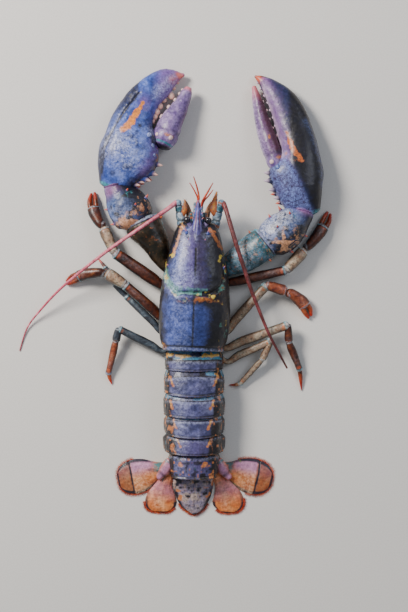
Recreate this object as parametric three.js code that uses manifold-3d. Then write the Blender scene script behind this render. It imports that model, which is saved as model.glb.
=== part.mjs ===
// An american lobster at life size, lying flat with its tail stretched out and its claws reaching forward.
// Millimetres, +Z up, +Y towards the head. The origin is on the flat under the thorax, on the body's midline.
import * as THREE from "three";
import { mergeVertices } from "three/addons/utils/BufferGeometryUtils.js";
import Module from "manifold-3d";

const wasm = await Module();
wasm.setup();

// Driving dimensions of the body
const gap = 0.3; // clear space between two pieces that touch
const carapaceLength = 92; // rear edge to the brow, without the rostrum
const rostrumLength = 17.5;
const carapaceRear = -37.5; // where the carapace ends, along Y
const carapaceTurn = THREE.MathUtils.degToRad(-2.1); // the carapace lies a little askew to the tail
const carapaceRearX = -0.6; // the midline at the carapace's rear edge
const tailX = 0.1; // the tail's midline
const sternumTop = 12; // height of the flesh between the legs' roots
const toRadians = THREE.MathUtils.degToRad;
const lerp = THREE.MathUtils.lerp;
const vec = (x, y, z) => new THREE.Vector3(x, y, z);

// Joining and cutting

// A closed solid from points and triangles.
function solid(points, triangles) {
  const mesh = new wasm.Mesh({
    numProp: 3,
    vertProperties: new Float32Array(points.flatMap((p) => [p.x, p.y, p.z])),
    triVerts: new Uint32Array(triangles.flat()),
  });
  return new wasm.Manifold(mesh);
}

// Skins a row of rings, each with the same number of points, and closes both ends on a pole.
function skin(rings, startPole, endPole) {
  const sides = rings[0].length;
  const points = [...rings.flat(), startPole, endPole];
  const start = points.length - 2;
  const end = points.length - 1;
  const last = (rings.length - 1) * sides;
  const triangles = [];
  for (let k = 0; k < sides; k++) {
    const next = (k + 1) % sides;
    for (let i = 0; i < rings.length - 1; i++) {
      const a = i * sides;
      const b = a + sides;
      triangles.push([a + k, a + next, b + next], [a + k, b + next, b + k]);
    }
    triangles.push([start, next, k], [end, last + k, last + next]);
  }
  const made = solid(points, triangles);
  return made.volume() < 0 ? solid(points, triangles.map(([a, b, c]) => [a, c, b])) : made;
}

// The largest closed body of a cut or joined solid.
function largest(body) {
  return body.decompose().sort((a, b) => b.volume() - a.volume())[0];
}

const join = (pieces) => largest(pieces.reduce((a, b) => a.add(b)));
const cutBy = (body, ...tools) => largest(tools.reduce((a, b) => a.subtract(b), body));

// Keeps what lies beyond the plane through `point`, on the side that `normal` points to.
function keepBeyond(body, point, normal, clear = gap / 2) {
  const n = normal.clone().normalize();
  return largest(body.trimByPlane([n.x, n.y, n.z], point.dot(n) + clear));
}

const aboveFloor = (body) => largest(body.trimByPlane([0, 0, 1], 0));

// Lofts along a curve

// Smooth values between stations, each a row of numbers, at t from 0 to 1.
function between(stations, t) {
  const n = stations.length - 1;
  const i = Math.min(n - 1, Math.max(0, Math.floor(t * n)));
  const f = t * n - i;
  const [p0, p1, p2, p3] = [i - 1, i, i + 1, i + 2].map((k) => stations[Math.min(n, Math.max(0, k))]);
  return p1.map((b, k) => {
    const slopeIn = (p2[k] - p0[k]) / 2;
    const slopeOut = (p3[k] - b) / 2;
    const rise = p2[k] - b;
    const square = 3 * rise - 2 * slopeIn - slopeOut;
    return b + slopeIn * f + square * f * f + (slopeIn + slopeOut - 2 * rise) * f ** 3;
  });
}

// The centre, direction, side and up vectors and half sizes of a loft at t.
function stationAt(stations, t) {
  const [x, y, z, w, h] = between(stations, t);
  const reach = 0.02;
  const [a, b] = [between(stations, Math.max(0, t - reach)), between(stations, Math.min(1, t + reach))];
  const along = vec(b[0] - a[0], b[1] - a[1], b[2] - a[2]).normalize();
  const side = along.clone().cross(vec(0, 0, 1)).normalize();
  const up = side.clone().cross(along);
  return { centre: vec(x, y, z), along, side, up, w: Math.max(w, 0.2), h: Math.max(h, 0.2) };
}

// A point on the loft's surface. Angle 0 is the right side, looking along it, and a quarter turn is the top.
function surfaceAt(stations, t, degrees, power = 2) {
  const s = stationAt(stations, t);
  const a = toRadians(degrees);
  const bend = (v) => Math.sign(v) * Math.abs(v) ** (2 / power);
  const out = s.side
    .clone()
    .multiplyScalar(bend(Math.cos(a)) * s.w)
    .addScaledVector(s.up, bend(Math.sin(a)) * s.h);
  const normal = s.side
    .clone()
    .multiplyScalar(Math.cos(a) / s.w)
    .addScaledVector(s.up, Math.sin(a) / s.h)
    .normalize();
  return { point: s.centre.clone().add(out), normal, along: s.along };
}

// A solid along stations [x, y, z, half width, half height], with rounded or flat ends.
function loft(stations, { sides = 10, steps = 8, power = 2, grow = 0, startCap = 0, endCap = 0, capRings = 1 } = {}) {
  const rings = [];
  const bend = (v) => Math.sign(v) * Math.abs(v) ** (2 / power);
  const ringOf = (s, centre, scale) =>
    Array.from({ length: sides }, (_, k) => {
      const a = ((k + 0.5) / sides) * 2 * Math.PI;
      return centre
        .clone()
        .addScaledVector(s.side, bend(Math.cos(a)) * (s.w + grow) * scale)
        .addScaledVector(s.up, bend(Math.sin(a)) * (s.h + grow) * scale);
    });
  const dome = (s, cap, way) =>
    Array.from({ length: capRings }, (_, k) => {
      const turn = (((k + 1) / (capRings + 1)) * Math.PI) / 2;
      const centre = s.centre.clone().addScaledVector(s.along, way * (cap + grow) * Math.sin(turn));
      return ringOf(s, centre, Math.cos(turn));
    });
  const first = stationAt(stations, 0);
  const final = stationAt(stations, 1);
  if (startCap) rings.push(...dome(first, startCap, -1).reverse());
  for (let i = 0; i <= steps; i++) {
    const s = stationAt(stations, i / steps);
    const push = startCap || endCap ? 0 : i === 0 ? -grow : i === steps ? grow : 0;
    rings.push(ringOf(s, s.centre.clone().addScaledVector(s.along, push), 1));
  }
  if (endCap) rings.push(...dome(final, endCap, 1));
  const startPole = first.centre.clone().addScaledVector(first.along, -(startCap + grow));
  const endPole = final.centre.clone().addScaledVector(final.along, endCap + grow);
  return skin(rings, startPole, endPole);
}

// A cone with its root sunk below `point`, bent towards `lean` by a share of its length.
function spike({ point, normal }, length, radius, lean = vec(0, 0, 0), sides = 5) {
  const way = normal.clone().add(lean).normalize();
  const across = Math.abs(way.z) < 0.9 ? vec(0, 0, 1) : vec(1, 0, 0);
  const side = way.clone().cross(across).normalize();
  const up = side.clone().cross(way);
  const root = point.clone().addScaledVector(way, -radius * 0.9);
  const ringOf = (centre, r) =>
    Array.from({ length: sides }, (_, k) => {
      const a = (k / sides) * 2 * Math.PI;
      return centre.clone().addScaledVector(side, r * Math.cos(a)).addScaledVector(up, r * Math.sin(a));
    });
  return skin([ringOf(root, radius)], root, point.clone().addScaledVector(way, length));
}

// A blunt tooth, a low dome with its root sunk below `point`.
function molar({ point, normal }, height, radius, sides = 5) {
  const root = point.clone().addScaledVector(normal, -radius * 0.7);
  const side = normal.clone().cross(vec(0, 0, 1)).normalize();
  const up = side.clone().cross(normal);
  const ringOf = (lift, r) =>
    Array.from({ length: sides }, (_, k) => {
      const a = ((k + 0.5) / sides) * 2 * Math.PI;
      return point
        .clone()
        .addScaledVector(normal, lift)
        .addScaledVector(side, r * Math.cos(a))
        .addScaledVector(up, r * Math.sin(a));
    });
  const tip = point.clone().addScaledVector(normal, height);
  return skin([ringOf(-radius * 0.7, radius), ringOf(height * 0.6, radius * 0.85)], root, tip);
}

// Named meshes

const lobster = new THREE.Group();
lobster.name = "american_lobster";

const finishes = {
  shell: { color: 0x34406b, roughness: 0.38 },
  claw: { color: 0x3f4d86, roughness: 0.35 },
  clawFinger: { color: 0x5b4d78, roughness: 0.35 },
  merus: { color: 0x24423f, roughness: 0.4 },
  leg: { color: 0x7d7f76, roughness: 0.45 },
  legTip: { color: 0x8a3b22, roughness: 0.45 },
  fan: { color: 0xa5664a, roughness: 0.4 },
  feeler: { color: 0xa8505a, roughness: 0.4 },
  feelerRed: { color: 0xc23a22, roughness: 0.4 },
  eye: { color: 0x0d0b10, roughness: 0.12 },
  underside: { color: 0x8d6a52, roughness: 0.5 },
};
const materialOf = (name, look) => new THREE.MeshStandardMaterial({ name, metalness: 0, ...look });
const materials = Object.fromEntries(
  Object.entries(finishes).map(([name, look]) => [name, materialOf(name, look)]),
);

// Adds a solid to the group as a mesh of its own.
function place(name, body, finish) {
  const { numProp, vertProperties, triVerts } = body.getMesh();
  const count = vertProperties.length / numProp;
  const positions = new Float32Array(count * 3);
  for (let i = 0; i < count; i++) positions.set(vertProperties.subarray(i * numProp, i * numProp + 3), i * 3);
  const geometry = new THREE.BufferGeometry();
  geometry.setAttribute("position", new THREE.BufferAttribute(positions, 3));
  geometry.setIndex(new THREE.BufferAttribute(new Uint32Array(triVerts), 1));
  const merged = mergeVertices(geometry, 1e-4);
  merged.computeVertexNormals();
  const mesh = new THREE.Mesh(merged, materials[finish]);
  mesh.name = name;
  lobster.add(mesh);
  return body;
}

// Carapace

// Rows of [distance from the rear edge, half width, top, lower edge], front last.
const carapaceRows = [
  [0, 21.6, 33, 11],
  [4.5, 23.6, 36.5, 9],
  [14, 25.7, 39.5, 7.5],
  [27, 26.3, 41.5, 7.5],
  [41, 25.6, 42.5, 7.5],
  [46, 25.1, 42.5, 7.5],
  [58, 23.5, 42, 8.5],
  [69, 21, 40.5, 11],
  [79, 18.5, 37.5, 14],
  [87, 16.3, 34.5, 17],
  [carapaceLength, 13.8, 31.5, 20],
];
const grooveDepth = 1.6;
const grooveHalfWidth = 2.6;

// How far the cervical groove sinks the shell at a distance along the back and an angle up from the side.
function grooveSink(distance, degrees) {
  const fromTop = Math.abs(90 - degrees) / 90; // 0 on the back, 1 at the side
  const line = 41.5 + 2 * fromTop + 26 * Math.max(0, fromTop - 0.22) ** 1.1; // flat across the back, then forward
  const near = Math.abs(distance - line) / grooveHalfWidth;
  return near < 1 && fromTop < 0.95 ? grooveDepth * (1 - near * near) : 0;
}

const carapaceFrame = new THREE.Matrix4()
  .makeTranslation(carapaceRearX, carapaceRear, 0)
  .multiply(new THREE.Matrix4().makeRotationZ(carapaceTurn));

// The carapace's section at one row: an arch of superellipse form on tucked-in lower edges.
function carapaceRing([distance, halfWidth, top, low], grow, archSides) {
  const widest = lerp(low, top, 0.36);
  const ring = [];
  for (let k = 0; k <= archSides; k++) {
    const degrees = (k / archSides) * 180;
    const a = toRadians(degrees);
    const sink = grooveSink(distance, degrees);
    const x = Math.cos(a);
    const z = Math.sin(a);
    ring.push(
      vec(
        Math.sign(x) * Math.abs(x) ** 0.86 * (halfWidth + grow - sink * Math.abs(x)),
        distance,
        widest + z ** 0.9 * (top - widest + grow - sink * z),
      ),
    );
  }
  const tuck = halfWidth * 0.9 + grow;
  const bottom = low - grow;
  ring.push(vec(-tuck, distance, lerp(bottom, widest, 0.3)), vec(-tuck * 0.86, distance, bottom));
  ring.push(vec(tuck * 0.86, distance, bottom), vec(tuck, distance, lerp(bottom, widest, 0.3)));
  return ring.map((p) => p.applyMatrix4(carapaceFrame));
}

function carapaceBody(grow = 0, steps = 22, archSides = 18) {
  const rings = [];
  for (let i = 0; i <= steps; i++) {
    const row = between(carapaceRows, i / steps);
    if (i === 0) row[0] -= grow;
    if (i === steps) row[0] += grow;
    rings.push(carapaceRing(row, grow, archSides));
  }
  const poleOf = (row, push) => vec(0, row[0] + push, lerp(row[3], row[2], 0.5)).applyMatrix4(carapaceFrame);
  return skin(rings, poleOf(carapaceRows[0], -grow), poleOf(carapaceRows.at(-1), grow));
}

const onCarapace = (x, distance, z) => vec(x, distance, z).applyMatrix4(carapaceFrame);

// The rostrum, a flat keeled spike with three pairs of teeth.
const rostrumRows = [
  [carapaceLength - 14, 31.5, 6.5, 4.5],
  [carapaceLength - 4, 31, 4.4, 3],
  [carapaceLength + 4, 31.2, 3, 2],
  [carapaceLength + 11, 32, 2.2, 1.4],
  [carapaceLength + rostrumLength, 33.5, 0.5, 0.5],
].map(([d, z, w, h]) => [...onCarapace(0, d, z).toArray(), w, h]);

function rostrumBody(grow = 0) {
  return loft(rostrumRows, { sides: 8, steps: 8, grow, endCap: 0.6 });
}

function carapaceSpines() {
  const spines = [];
  for (const side of [0, 180]) {
    for (const [t, length] of [[0.5, 2.2], [0.68, 2], [0.84, 1.6]]) {
      spines.push(spike(surfaceAt(rostrumRows, t, side), length, 0.9, vec(0, 0.9, 0.3)));
    }
  }
  for (const way of [-1, 1]) {
    const behindEye = { point: onCarapace(way * 8, carapaceLength - 5, 33.5), normal: vec(way * 0.25, 1, 0.5) };
    spines.push(spike(behindEye, 2.8, 1.2));
    const cheek = { point: onCarapace(way * 12.2, carapaceLength - 1.5, 26), normal: vec(way * 0.4, 1, 0.1) };
    spines.push(spike(cheek, 2.6, 1.2));
    const neck = { point: onCarapace(way * 20.3, 62, 32), normal: vec(way, 0.9, 0.4) };
    spines.push(spike(neck, 1.8, 1.1));
  }
  return spines;
}

const orbits = [-1, 1].map((way) =>
  loft(
    [
      [...onCarapace(way * 7.4, carapaceLength - 3.5, 28).toArray(), 3.2, 3.2],
      [...onCarapace(way * 8.4, carapaceLength + 10, 29.5).toArray(), 5.6, 5],
    ],
    { sides: 8, steps: 1, startCap: 2 },
  ),
);
const carapace = cutBy(join([carapaceBody(), rostrumBody(), ...carapaceSpines()]), ...orbits);
const carapaceClear = carapaceBody(gap + 0.15, 11, 12).add(rostrumBody(gap));
place("carapace", carapace, "shell");

// Thorax: the breastplate and leg bases under the carapace, with the face at its front

const thoraxRows = [
  [2, 12, 9, 0],
  [12, 15.5, sternumTop, 0],
  [40, 17.5, sternumTop, 0],
  [64, 15.5, 15, 0],
  [81, 14.6, 22, 3],
  [94, 12.6, 26.2, 9],
];

function thoraxBody(grow = 0) {
  const steps = 10;
  const rings = [];
  for (let i = 0; i <= steps; i++) {
    const [distance, w, top, low] = between(thoraxRows, i / steps);
    const push = i === 0 ? -grow : i === steps ? grow : 0;
    const [wide, high, bottom] = [w + grow, top + grow, low - grow];
    const corners = [
      [0.7, 0],
      [1, 0.35],
      [1, 0.8],
      [0.8, 1],
      [-0.8, 1],
      [-1, 0.8],
      [-1, 0.35],
      [-0.7, 0],
    ];
    rings.push(corners.map(([x, z]) => onCarapace(x * wide, distance + push, lerp(bottom, high, z))));
  }
  const poleOf = ([d, , top, low], push) => onCarapace(0, d + push, lerp(low, top, 0.5));
  return skin(rings, poleOf(thoraxRows[0], -grow), poleOf(thoraxRows.at(-1), grow));
}

const thorax = aboveFloor(cutBy(thoraxBody(), carapaceClear));
const thoraxClear = thoraxBody(gap);
place("thorax", thorax, "underside");

const clearOfBody = (body) => cutBy(body, thoraxClear, carapaceClear);

// Head: eyes, antennules, antennae and jaw legs

const headPieces = [];
for (const [name, way] of [
  ["left", -1],
  ["right", 1],
]) {
  const stalk = loft(
    [
      [...onCarapace(way * 4.4, carapaceLength - 1, 27).toArray(), 1.7, 1.7],
      [...onCarapace(way * 7, carapaceLength + 2.6, 28.6).toArray(), 2, 2],
    ],
    { sides: 6, steps: 1 },
  );
  const ball = loft(
    [
      [...onCarapace(way * 7.2, carapaceLength + 3, 28.8).toArray(), 2.5, 2.5],
      [...onCarapace(way * 7.9, carapaceLength + 4.2, 29.2).toArray(), 2.55, 2.55],
    ],
    { sides: 10, steps: 1, startCap: 1.6, endCap: 2, capRings: 2 },
  );
  const eye = cutBy(join([stalk, ball]), carapaceClear, thoraxClear);
  place(`eye_${name}`, eye, "eye");
  headPieces.push(eye);
}

// Feeler paths as stations [x, y, z, half width, half height]
const antennulePaths = {
  left: [
    [
      [3.7, 73.8, 29, 0.8, 0.8],
      [2.7, 80.9, 32, 0.65, 0.65],
      [0, 89.6, 35, 0.35, 0.35],
    ],
    [
      [3, 73.6, 27, 0.7, 0.7],
      [0.6, 79.7, 28.5, 0.55, 0.55],
      [-2.9, 85.5, 29, 0.35, 0.35],
    ],
  ],
  right: [
    [
      [6.8, 72.9, 29, 0.85, 0.85],
      [10.3, 78.9, 31, 0.7, 0.7],
      [14, 85.2, 33, 0.35, 0.35],
    ],
    [
      [7.5, 72.5, 27, 0.7, 0.7],
      [10.7, 76.1, 27.5, 0.55, 0.55],
      [14.1, 80.5, 28, 0.35, 0.35],
    ],
  ],
};
for (const [name, way] of [
  ["left", -1],
  ["right", 1],
]) {
  const stem = loft(
    [
      [...onCarapace(way * 2.3, carapaceLength, 23.6).toArray(), 1.8, 1.8],
      [...onCarapace(way * 2.3, carapaceLength + 9, 24.6).toArray(), 1.6, 1.6],
      [...onCarapace(way * 2.3, carapaceLength + 16, 27).toArray(), 1.3, 1.3],
    ],
    { sides: 8, steps: 4, endCap: 1 },
  );
  const whips = antennulePaths[name].map((path) => {
    const root = onCarapace(way * 2.3, carapaceLength + 14, 26.6);
    return loft([[...root.toArray(), 1, 1], ...path], { sides: 5, steps: 4 });
  });
  const made = cutBy(join([stem, ...whips]), carapaceClear, thoraxClear);
  place(`antennule_${name}`, made, "feelerRed");
  headPieces.push(made);
}

const antennaPaths = {
  left: {
    stem: [
      [-8.6, 53.5, 18, 3.4, 3.8],
      [-10, 63, 19.5, 3.4, 3.6],
      [-11.6, 71.6, 22, 2.6, 2.7],
    ],
    scale: [
      [-10, 61.5, 20.4, 2, 1.6],
      [-7, 66, 22.4, 2.3, 1],
      [-6.6, 73.6, 23.4, 0.5, 0.5],
    ],
    whip: [
      [-13, 71.6, 22.5, 1.9, 1.9],
      [-22.5, 64.1, 28, 1.5, 1.5],
      [-39.2, 52.4, 32, 1.4, 1.4],
      [-66.5, 33.7, 25, 1.25, 1.25],
      [-96.1, 10.8, 14, 1, 1],
      [-114.1, -7.1, 6, 0.8, 0.8],
      [-124.8, -20.8, 1.6, 0.6, 0.6],
      [-130.6, -37.9, 0.5, 0.45, 0.45],
    ],
  },
  right: {
    stem: [
      [15.4, 53.5, 18, 3.4, 3.8],
      [17.6, 63, 19.5, 3.4, 3.6],
      [20.4, 71.6, 22, 2.6, 2.7],
    ],
    scale: [
      [17.4, 61.5, 20.4, 2, 1.6],
      [14.6, 67.5, 22.6, 2.9, 1],
      [16.8, 79.4, 24, 0.5, 0.5],
    ],
    whip: [
      [21.9, 71, 22.5, 1.9, 1.9],
      [23.8, 65.5, 28, 1.75, 1.75],
      [30.9, 41.1, 31, 1.65, 1.65],
      [37.1, 22.6, 27.5, 1.5, 1.5],
      [42.8, 5.9, 23, 1.4, 1.4],
      [54, -21.7, 17, 1.15, 1.15],
      [60.9, -35.3, 13.5, 0.95, 0.95],
      [69.3, -50.7, 9, 0.7, 0.7],
    ],
  },
};
for (const [name, { stem, scale, whip }] of Object.entries(antennaPaths)) {
  const stemSpec = { sides: 9, steps: 5, endCap: 2.4 };
  const blade = loft(scale, { sides: 6, steps: 5 });
  const body = cutBy(join([loft(stem, stemSpec), blade]), carapaceClear, thoraxClear);
  place(`antenna_${name}_base`, cutBy(body, ...headPieces), "leg");
  const flagellum = aboveFloor(cutBy(loft(whip, { sides: 6, steps: 30 }), loft(stem, { ...stemSpec, grow: gap })));
  place(`antenna_${name}_flagellum`, flagellum, "feeler");
}

for (const [name, way] of [
  ["left", -1],
  ["right", 1],
]) {
  const jaw = loft(
    [
      [...onCarapace(way * 5.4, 78, 7).toArray(), 3.4, 3.6],
      [...onCarapace(way * 6.4, 90, 8).toArray(), 3.6, 3.6],
      [...onCarapace(way * 6.2, 99, 10).toArray(), 2.7, 2.9],
      [...onCarapace(way * 8, 106, 15).toArray(), 1.9, 2],
      [...onCarapace(way * 9.5, 110, 19).toArray(), 0.8, 0.8],
    ],
    { sides: 8, steps: 8, endCap: 0.6 },
  );
  place(`maxilliped_${name}`, clearOfBody(jaw), "underside");
}

// Chelipeds: the arm's merus and carpus, and the claw's palm with its fixed finger and its moving finger

const arms = {
  left: {
    merus: [
      [-11.9, 17.8, 8, 4, 4.5],
      [-21.8, 27.7, 10, 6, 7],
      [-28.2, 41.5, 12.5, 9.8, 11],
      [-36.5, 54.4, 13, 13.5, 12.5],
      [-40.5, 61.3, 13, 13.5, 12],
    ],
    elbow: vec(-40, 56.8, 13),
    elbowWay: vec(-0.5, 0.86, 0),
    carpus: [
      [-38.5, 51.4, 13, 12.5, 10.5],
      [-43.4, 60.8, 13.2, 15.6, 12.5],
      [-50.3, 71.1, 13.5, 15.2, 13],
      [-56.8, 82, 13.5, 9.6, 10],
      [-58.7, 88.9, 13.5, 8.2, 9],
    ],
    wrist: vec(-57.9, 86.6, 13),
    wristWay: vec(0.1, 1, 0),
    palm: [
      [-58.3, 84.6, 12, 12.5, 9.5],
      [-55.9, 93.2, 12.6, 16.6, 12.6],
      [-48.9, 105.8, 13.2, 22.5, 14],
      [-46.4, 119.7, 12.5, 20, 13],
      [-46, 131.7, 11, 16, 11],
      [-41.2, 143.2, 9.6, 13.2, 9.6],
      [-34.1, 153, 8.6, 11.6, 8.6],
      [-24.8, 160.8, 7.4, 10.4, 7.2],
      [-16.4, 166.1, 6, 6.4, 5.2],
      [-8.4, 167.9, 5, 1.8, 2],
    ],
    palmEnd: 1.6,
    finger: [
      [-23.2, 116.8, 12, 7.8, 8.5],
      [-20.2, 124.3, 11.5, 9.4, 9.2],
      [-16.8, 132.2, 11, 8.6, 8],
      [-11.8, 140.8, 10, 6.9, 6.4],
      [-7.9, 148.3, 9.4, 5, 5],
      [-5.2, 154.4, 9, 4.1, 4.1],
      [-4.2, 157.2, 9, 2.8, 3],
    ],
    fingerEnd: 1.6,
    teeth: [
      [0.55, 2.6, 2.6],
      [0.6, 2.8, 2.8],
      [0.66, 2.4, 2.4],
      [0.72, 1.6, 2],
      [0.79, 3.4, 2.6],
      [0.86, 1.5, 1.4],
    ],
    toothSide: 0,
    fingerTeeth: [
      [0.34, 1, 1.8],
      [0.48, 1.6, 1.8],
      [0.62, 1.4, 1.6],
      [0.75, 1.3, 1.4],
      [0.86, 1, 1.1],
    ],
  },
  right: {
    merus: [
      [14, 19.8, 8, 4.5, 5],
      [23.9, 24.7, 10.5, 7.4, 8],
      [36.7, 31.6, 12.5, 11, 11],
      [49.5, 40, 13, 12.4, 12.4],
      [56.5, 45.5, 13, 12.4, 12],
    ],
    elbow: vec(54, 41, 13),
    elbowWay: vec(0.72, 0.69, 0),
    carpus: [
      [49.5, 38, 13, 11.5, 10.5],
      [58.4, 45, 13.2, 14.4, 12.5],
      [69.3, 53.3, 13.5, 14.4, 13],
      [78.7, 63.2, 13.5, 10, 10.4],
      [82.6, 70.2, 13.5, 8.6, 9],
    ],
    wrist: vec(80.8, 66.8, 13),
    wristWay: vec(0.25, 1, 0),
    palm: [
      [83.3, 65.3, 11.5, 11, 9],
      [80.7, 73.2, 12.4, 14.8, 11.6],
      [78, 83, 13, 18, 12.8],
      [75.9, 94.9, 12.6, 20.4, 13],
      [79.2, 107.9, 11.8, 14.4, 11.6],
      [76.8, 119.9, 10.6, 13.2, 10],
      [72.6, 133.6, 9.2, 12.6, 8.6],
      [66.9, 146.3, 7.8, 10.8, 7.2],
      [59.1, 156.2, 6.4, 7.8, 5.6],
      [50.7, 163.9, 5, 3.7, 3.6],
      [46.3, 166.7, 4.6, 1.2, 1.4],
    ],
    palmEnd: 1.2,
    finger: [
      [62.3, 98.5, 12, 5.4, 7.5],
      [59.4, 106.4, 11.6, 6.6, 8],
      [56.4, 115.4, 10.8, 7, 7.2],
      [53, 125.6, 9.6, 6.3, 6.2],
      [50, 136.6, 8.4, 5.3, 5.2],
      [47.4, 147.6, 7.4, 3.9, 4],
      [44.9, 158.8, 6.6, 1.6, 1.6],
    ],
    fingerEnd: 1,
    teeth: Array.from({ length: 8 }, (_, k) => [0.48 + k * 0.058, 0.9 + 0.5 * (k % 3 === 1), 1.2]),
    toothSide: 180,
    fingerTeeth: Array.from({ length: 6 }, (_, k) => [0.3 + k * 0.105, 0.8 + 0.4 * (k % 3 === 1), 1.1]),
  },
};

for (const [name, arm] of Object.entries(arms)) {
  const inner = name === "left" ? 0 : 180; // the side towards the other claw, looking along the arm
  const outer = 180 - inner;
  const palmSpec = { sides: 14, steps: 16, power: 2.2, endCap: arm.palmEnd };
  const fingerSpec = { sides: 10, steps: 9, startCap: 5, endCap: arm.fingerEnd };
  const palmTeeth = (grow) =>
    arm.teeth.map(([t, height, radius]) =>
      molar(surfaceAt(arm.palm, t, arm.toothSide, 2.2), height + grow, radius + grow),
    );
  const palmSpines = [0.06, 0.12, 0.18, 0.24, 0.3].map((t, k) =>
    spike(surfaceAt(arm.palm, t, inner + (inner ? -1 : 1) * (k % 2 ? 24 : 2), 2.2), 3, 1.9, vec(0, 0.15, 0)),
  );
  const palm = join([loft(arm.palm, palmSpec), ...palmSpines]);
  const finger = loft(arm.finger, fingerSpec);
  const fingerTeeth = arm.fingerTeeth.map(([t, height, radius]) =>
    molar(surfaceAt(arm.finger, t, arm.toothSide + 180), height, radius),
  );
  const hinge = loft(arm.finger, { ...fingerSpec, grow: gap });
  const socketed = cutBy(palm, hinge);
  const toothed = join([socketed, ...palmTeeth(0).map((tooth) => tooth.subtract(hinge))]);
  const fingerWhole = cutBy(join([finger, ...fingerTeeth]), loft(arm.palm, { ...palmSpec, grow: gap }).subtract(hinge));
  const propodus = aboveFloor(keepBeyond(toothed, arm.wrist, arm.wristWay));
  place(`claw_${name}_propodus`, propodus, "claw");
  const dactyl = aboveFloor(cutBy(fingerWhole, ...palmTeeth(gap + 0.1)));
  place(`claw_${name}_dactyl`, dactyl, "clawFinger");

  const carpusSpines = [
    [0.62, inner + (inner ? -1 : 1) * 8, 3.6, 2],
    [0.42, inner + (inner ? -1 : 1) * 22, 3.2, 1.8],
    [0.66, inner + (inner ? -1 : 1) * 60, 2.4, 1.6],
    [0.4, inner + (inner ? -1 : 1) * 70, 2.2, 1.5],
    [0.36, outer + (inner ? 1 : -1) * 8, 3.4, 2],
    [0.58, outer + (inner ? 1 : -1) * 14, 2.8, 1.7],
  ].map(([t, degrees, length, radius]) => spike(surfaceAt(arm.carpus, t, degrees), length, radius, vec(0, 0.35, 0)));
  let carpus = join([loft(arm.carpus, { sides: 14, steps: 8 }), ...carpusSpines]);
  carpus = keepBeyond(keepBeyond(carpus, arm.elbow, arm.elbowWay), arm.wrist, arm.wristWay.clone().negate());
  place(`claw_${name}_carpus`, aboveFloor(carpus), "claw");

  const merusSpines = [
    [0.68, inner + (inner ? -1 : 1) * 14, 2.6, 1.7],
    [0.7, outer + (inner ? 1 : -1) * 20, 2.8, 1.8],
  ].map(([t, degrees, length, radius]) => spike(surfaceAt(arm.merus, t, degrees), length, radius, vec(0, 0.2, 0)));
  const merus = keepBeyond(
    join([loft(arm.merus, { sides: 12, steps: 8 }), ...merusSpines]),
    arm.elbow,
    arm.elbowWay.clone().negate(),
  );
  place(`claw_${name}_merus`, aboveFloor(clearOfBody(merus)), "merus");
}

// Walking legs: four pairs, the first two with small pincers

// root, hip, knee, wrist, ankle and tip as [x, y, z], and the half widths of the thigh, shank and foot
const legs = {
  left_2: {
    root: [-12, 6, 6],
    hip: [-22, 9.7, 6],
    knee: [-59, 35.2, 12],
    wrist: [-67.2, 53.4, 9.5],
    tip: [-75.5, 80.4, 1.6],
    sizes: [4.6, 4.2, 4.7],
    pincer: 12,
    bow: -3.2,
  },
  left_3: {
    root: [-12, -6, 6],
    hip: [-22, -14.3, 5],
    knee: [-51.5, 11.5, 12.5],
    wrist: [-64.6, 20, 11.5],
    tip: [-95.6, 12.6, 1.6],
    sizes: [3.8, 4.4, 4.3],
    pincer: 11,
    bow: 3.2,
  },
  left_4: {
    root: [-12, -16, 5],
    hip: [-22.5, -24.5, 4.4],
    knee: [-51, 3, 2.8],
    wrist: [-59.3, 12.2, 2.6],
    ankle: [-66.6, 24.7, 2.4],
    tip: [-71.9, 31.1, 0.8],
    sizes: [2.6, 2.4, 2.2],
  },
  left_5: {
    root: [-11, -29, 5],
    hip: [-22.5, -38.2, 4.6],
    knee: [-56.1, -21.5, 10],
    wrist: [-58.2, -30.6, 8],
    ankle: [-64.2, -55.4, 2.6],
    tip: [-61.6, -63, 0.8],
    sizes: [3, 3, 2.8],
  },
  right_2: {
    root: [12, 6, 6],
    hip: [22, 11.8, 6],
    knee: [68.8, 22.3, 11],
    wrist: [82, 37.2, 8],
    tip: [101.2, 65.6, 1.6],
    sizes: [3.7, 4.5, 4.6],
    pincer: 12,
    bow: 2.4,
  },
  right_3: {
    root: [12, -10, 6],
    hip: [22.5, -24, 5],
    knee: [54.1, 11, 10.6],
    wrist: [68.5, 6.7, 9.5],
    tip: [86.9, -13, 1.6],
    sizes: [3.6, 4, 4.8],
    pincer: 10,
    bow: -3.2,
  },
  right_4: {
    root: [12, -22, 5],
    hip: [22, -35.6, 5.4],
    knee: [70.1, -18.6, 11],
    wrist: [70.6, -31.3, 8.5],
    ankle: [79.3, -52.4, 2.8],
    tip: [80.5, -67.5, 0.8],
    sizes: [3.5, 2.9, 3],
  },
  right_5: {
    root: [10, -31, 5],
    hip: [23.5, -45.6, 4.4],
    knee: [57.3, -30.7, 10],
    wrist: [50.9, -44.4, 7],
    ankle: [34.1, -63.2, 2.6],
    tip: [26.6, -63.7, 0.8],
    sizes: [3, 2.6, 2.3],
  },
};

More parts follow.
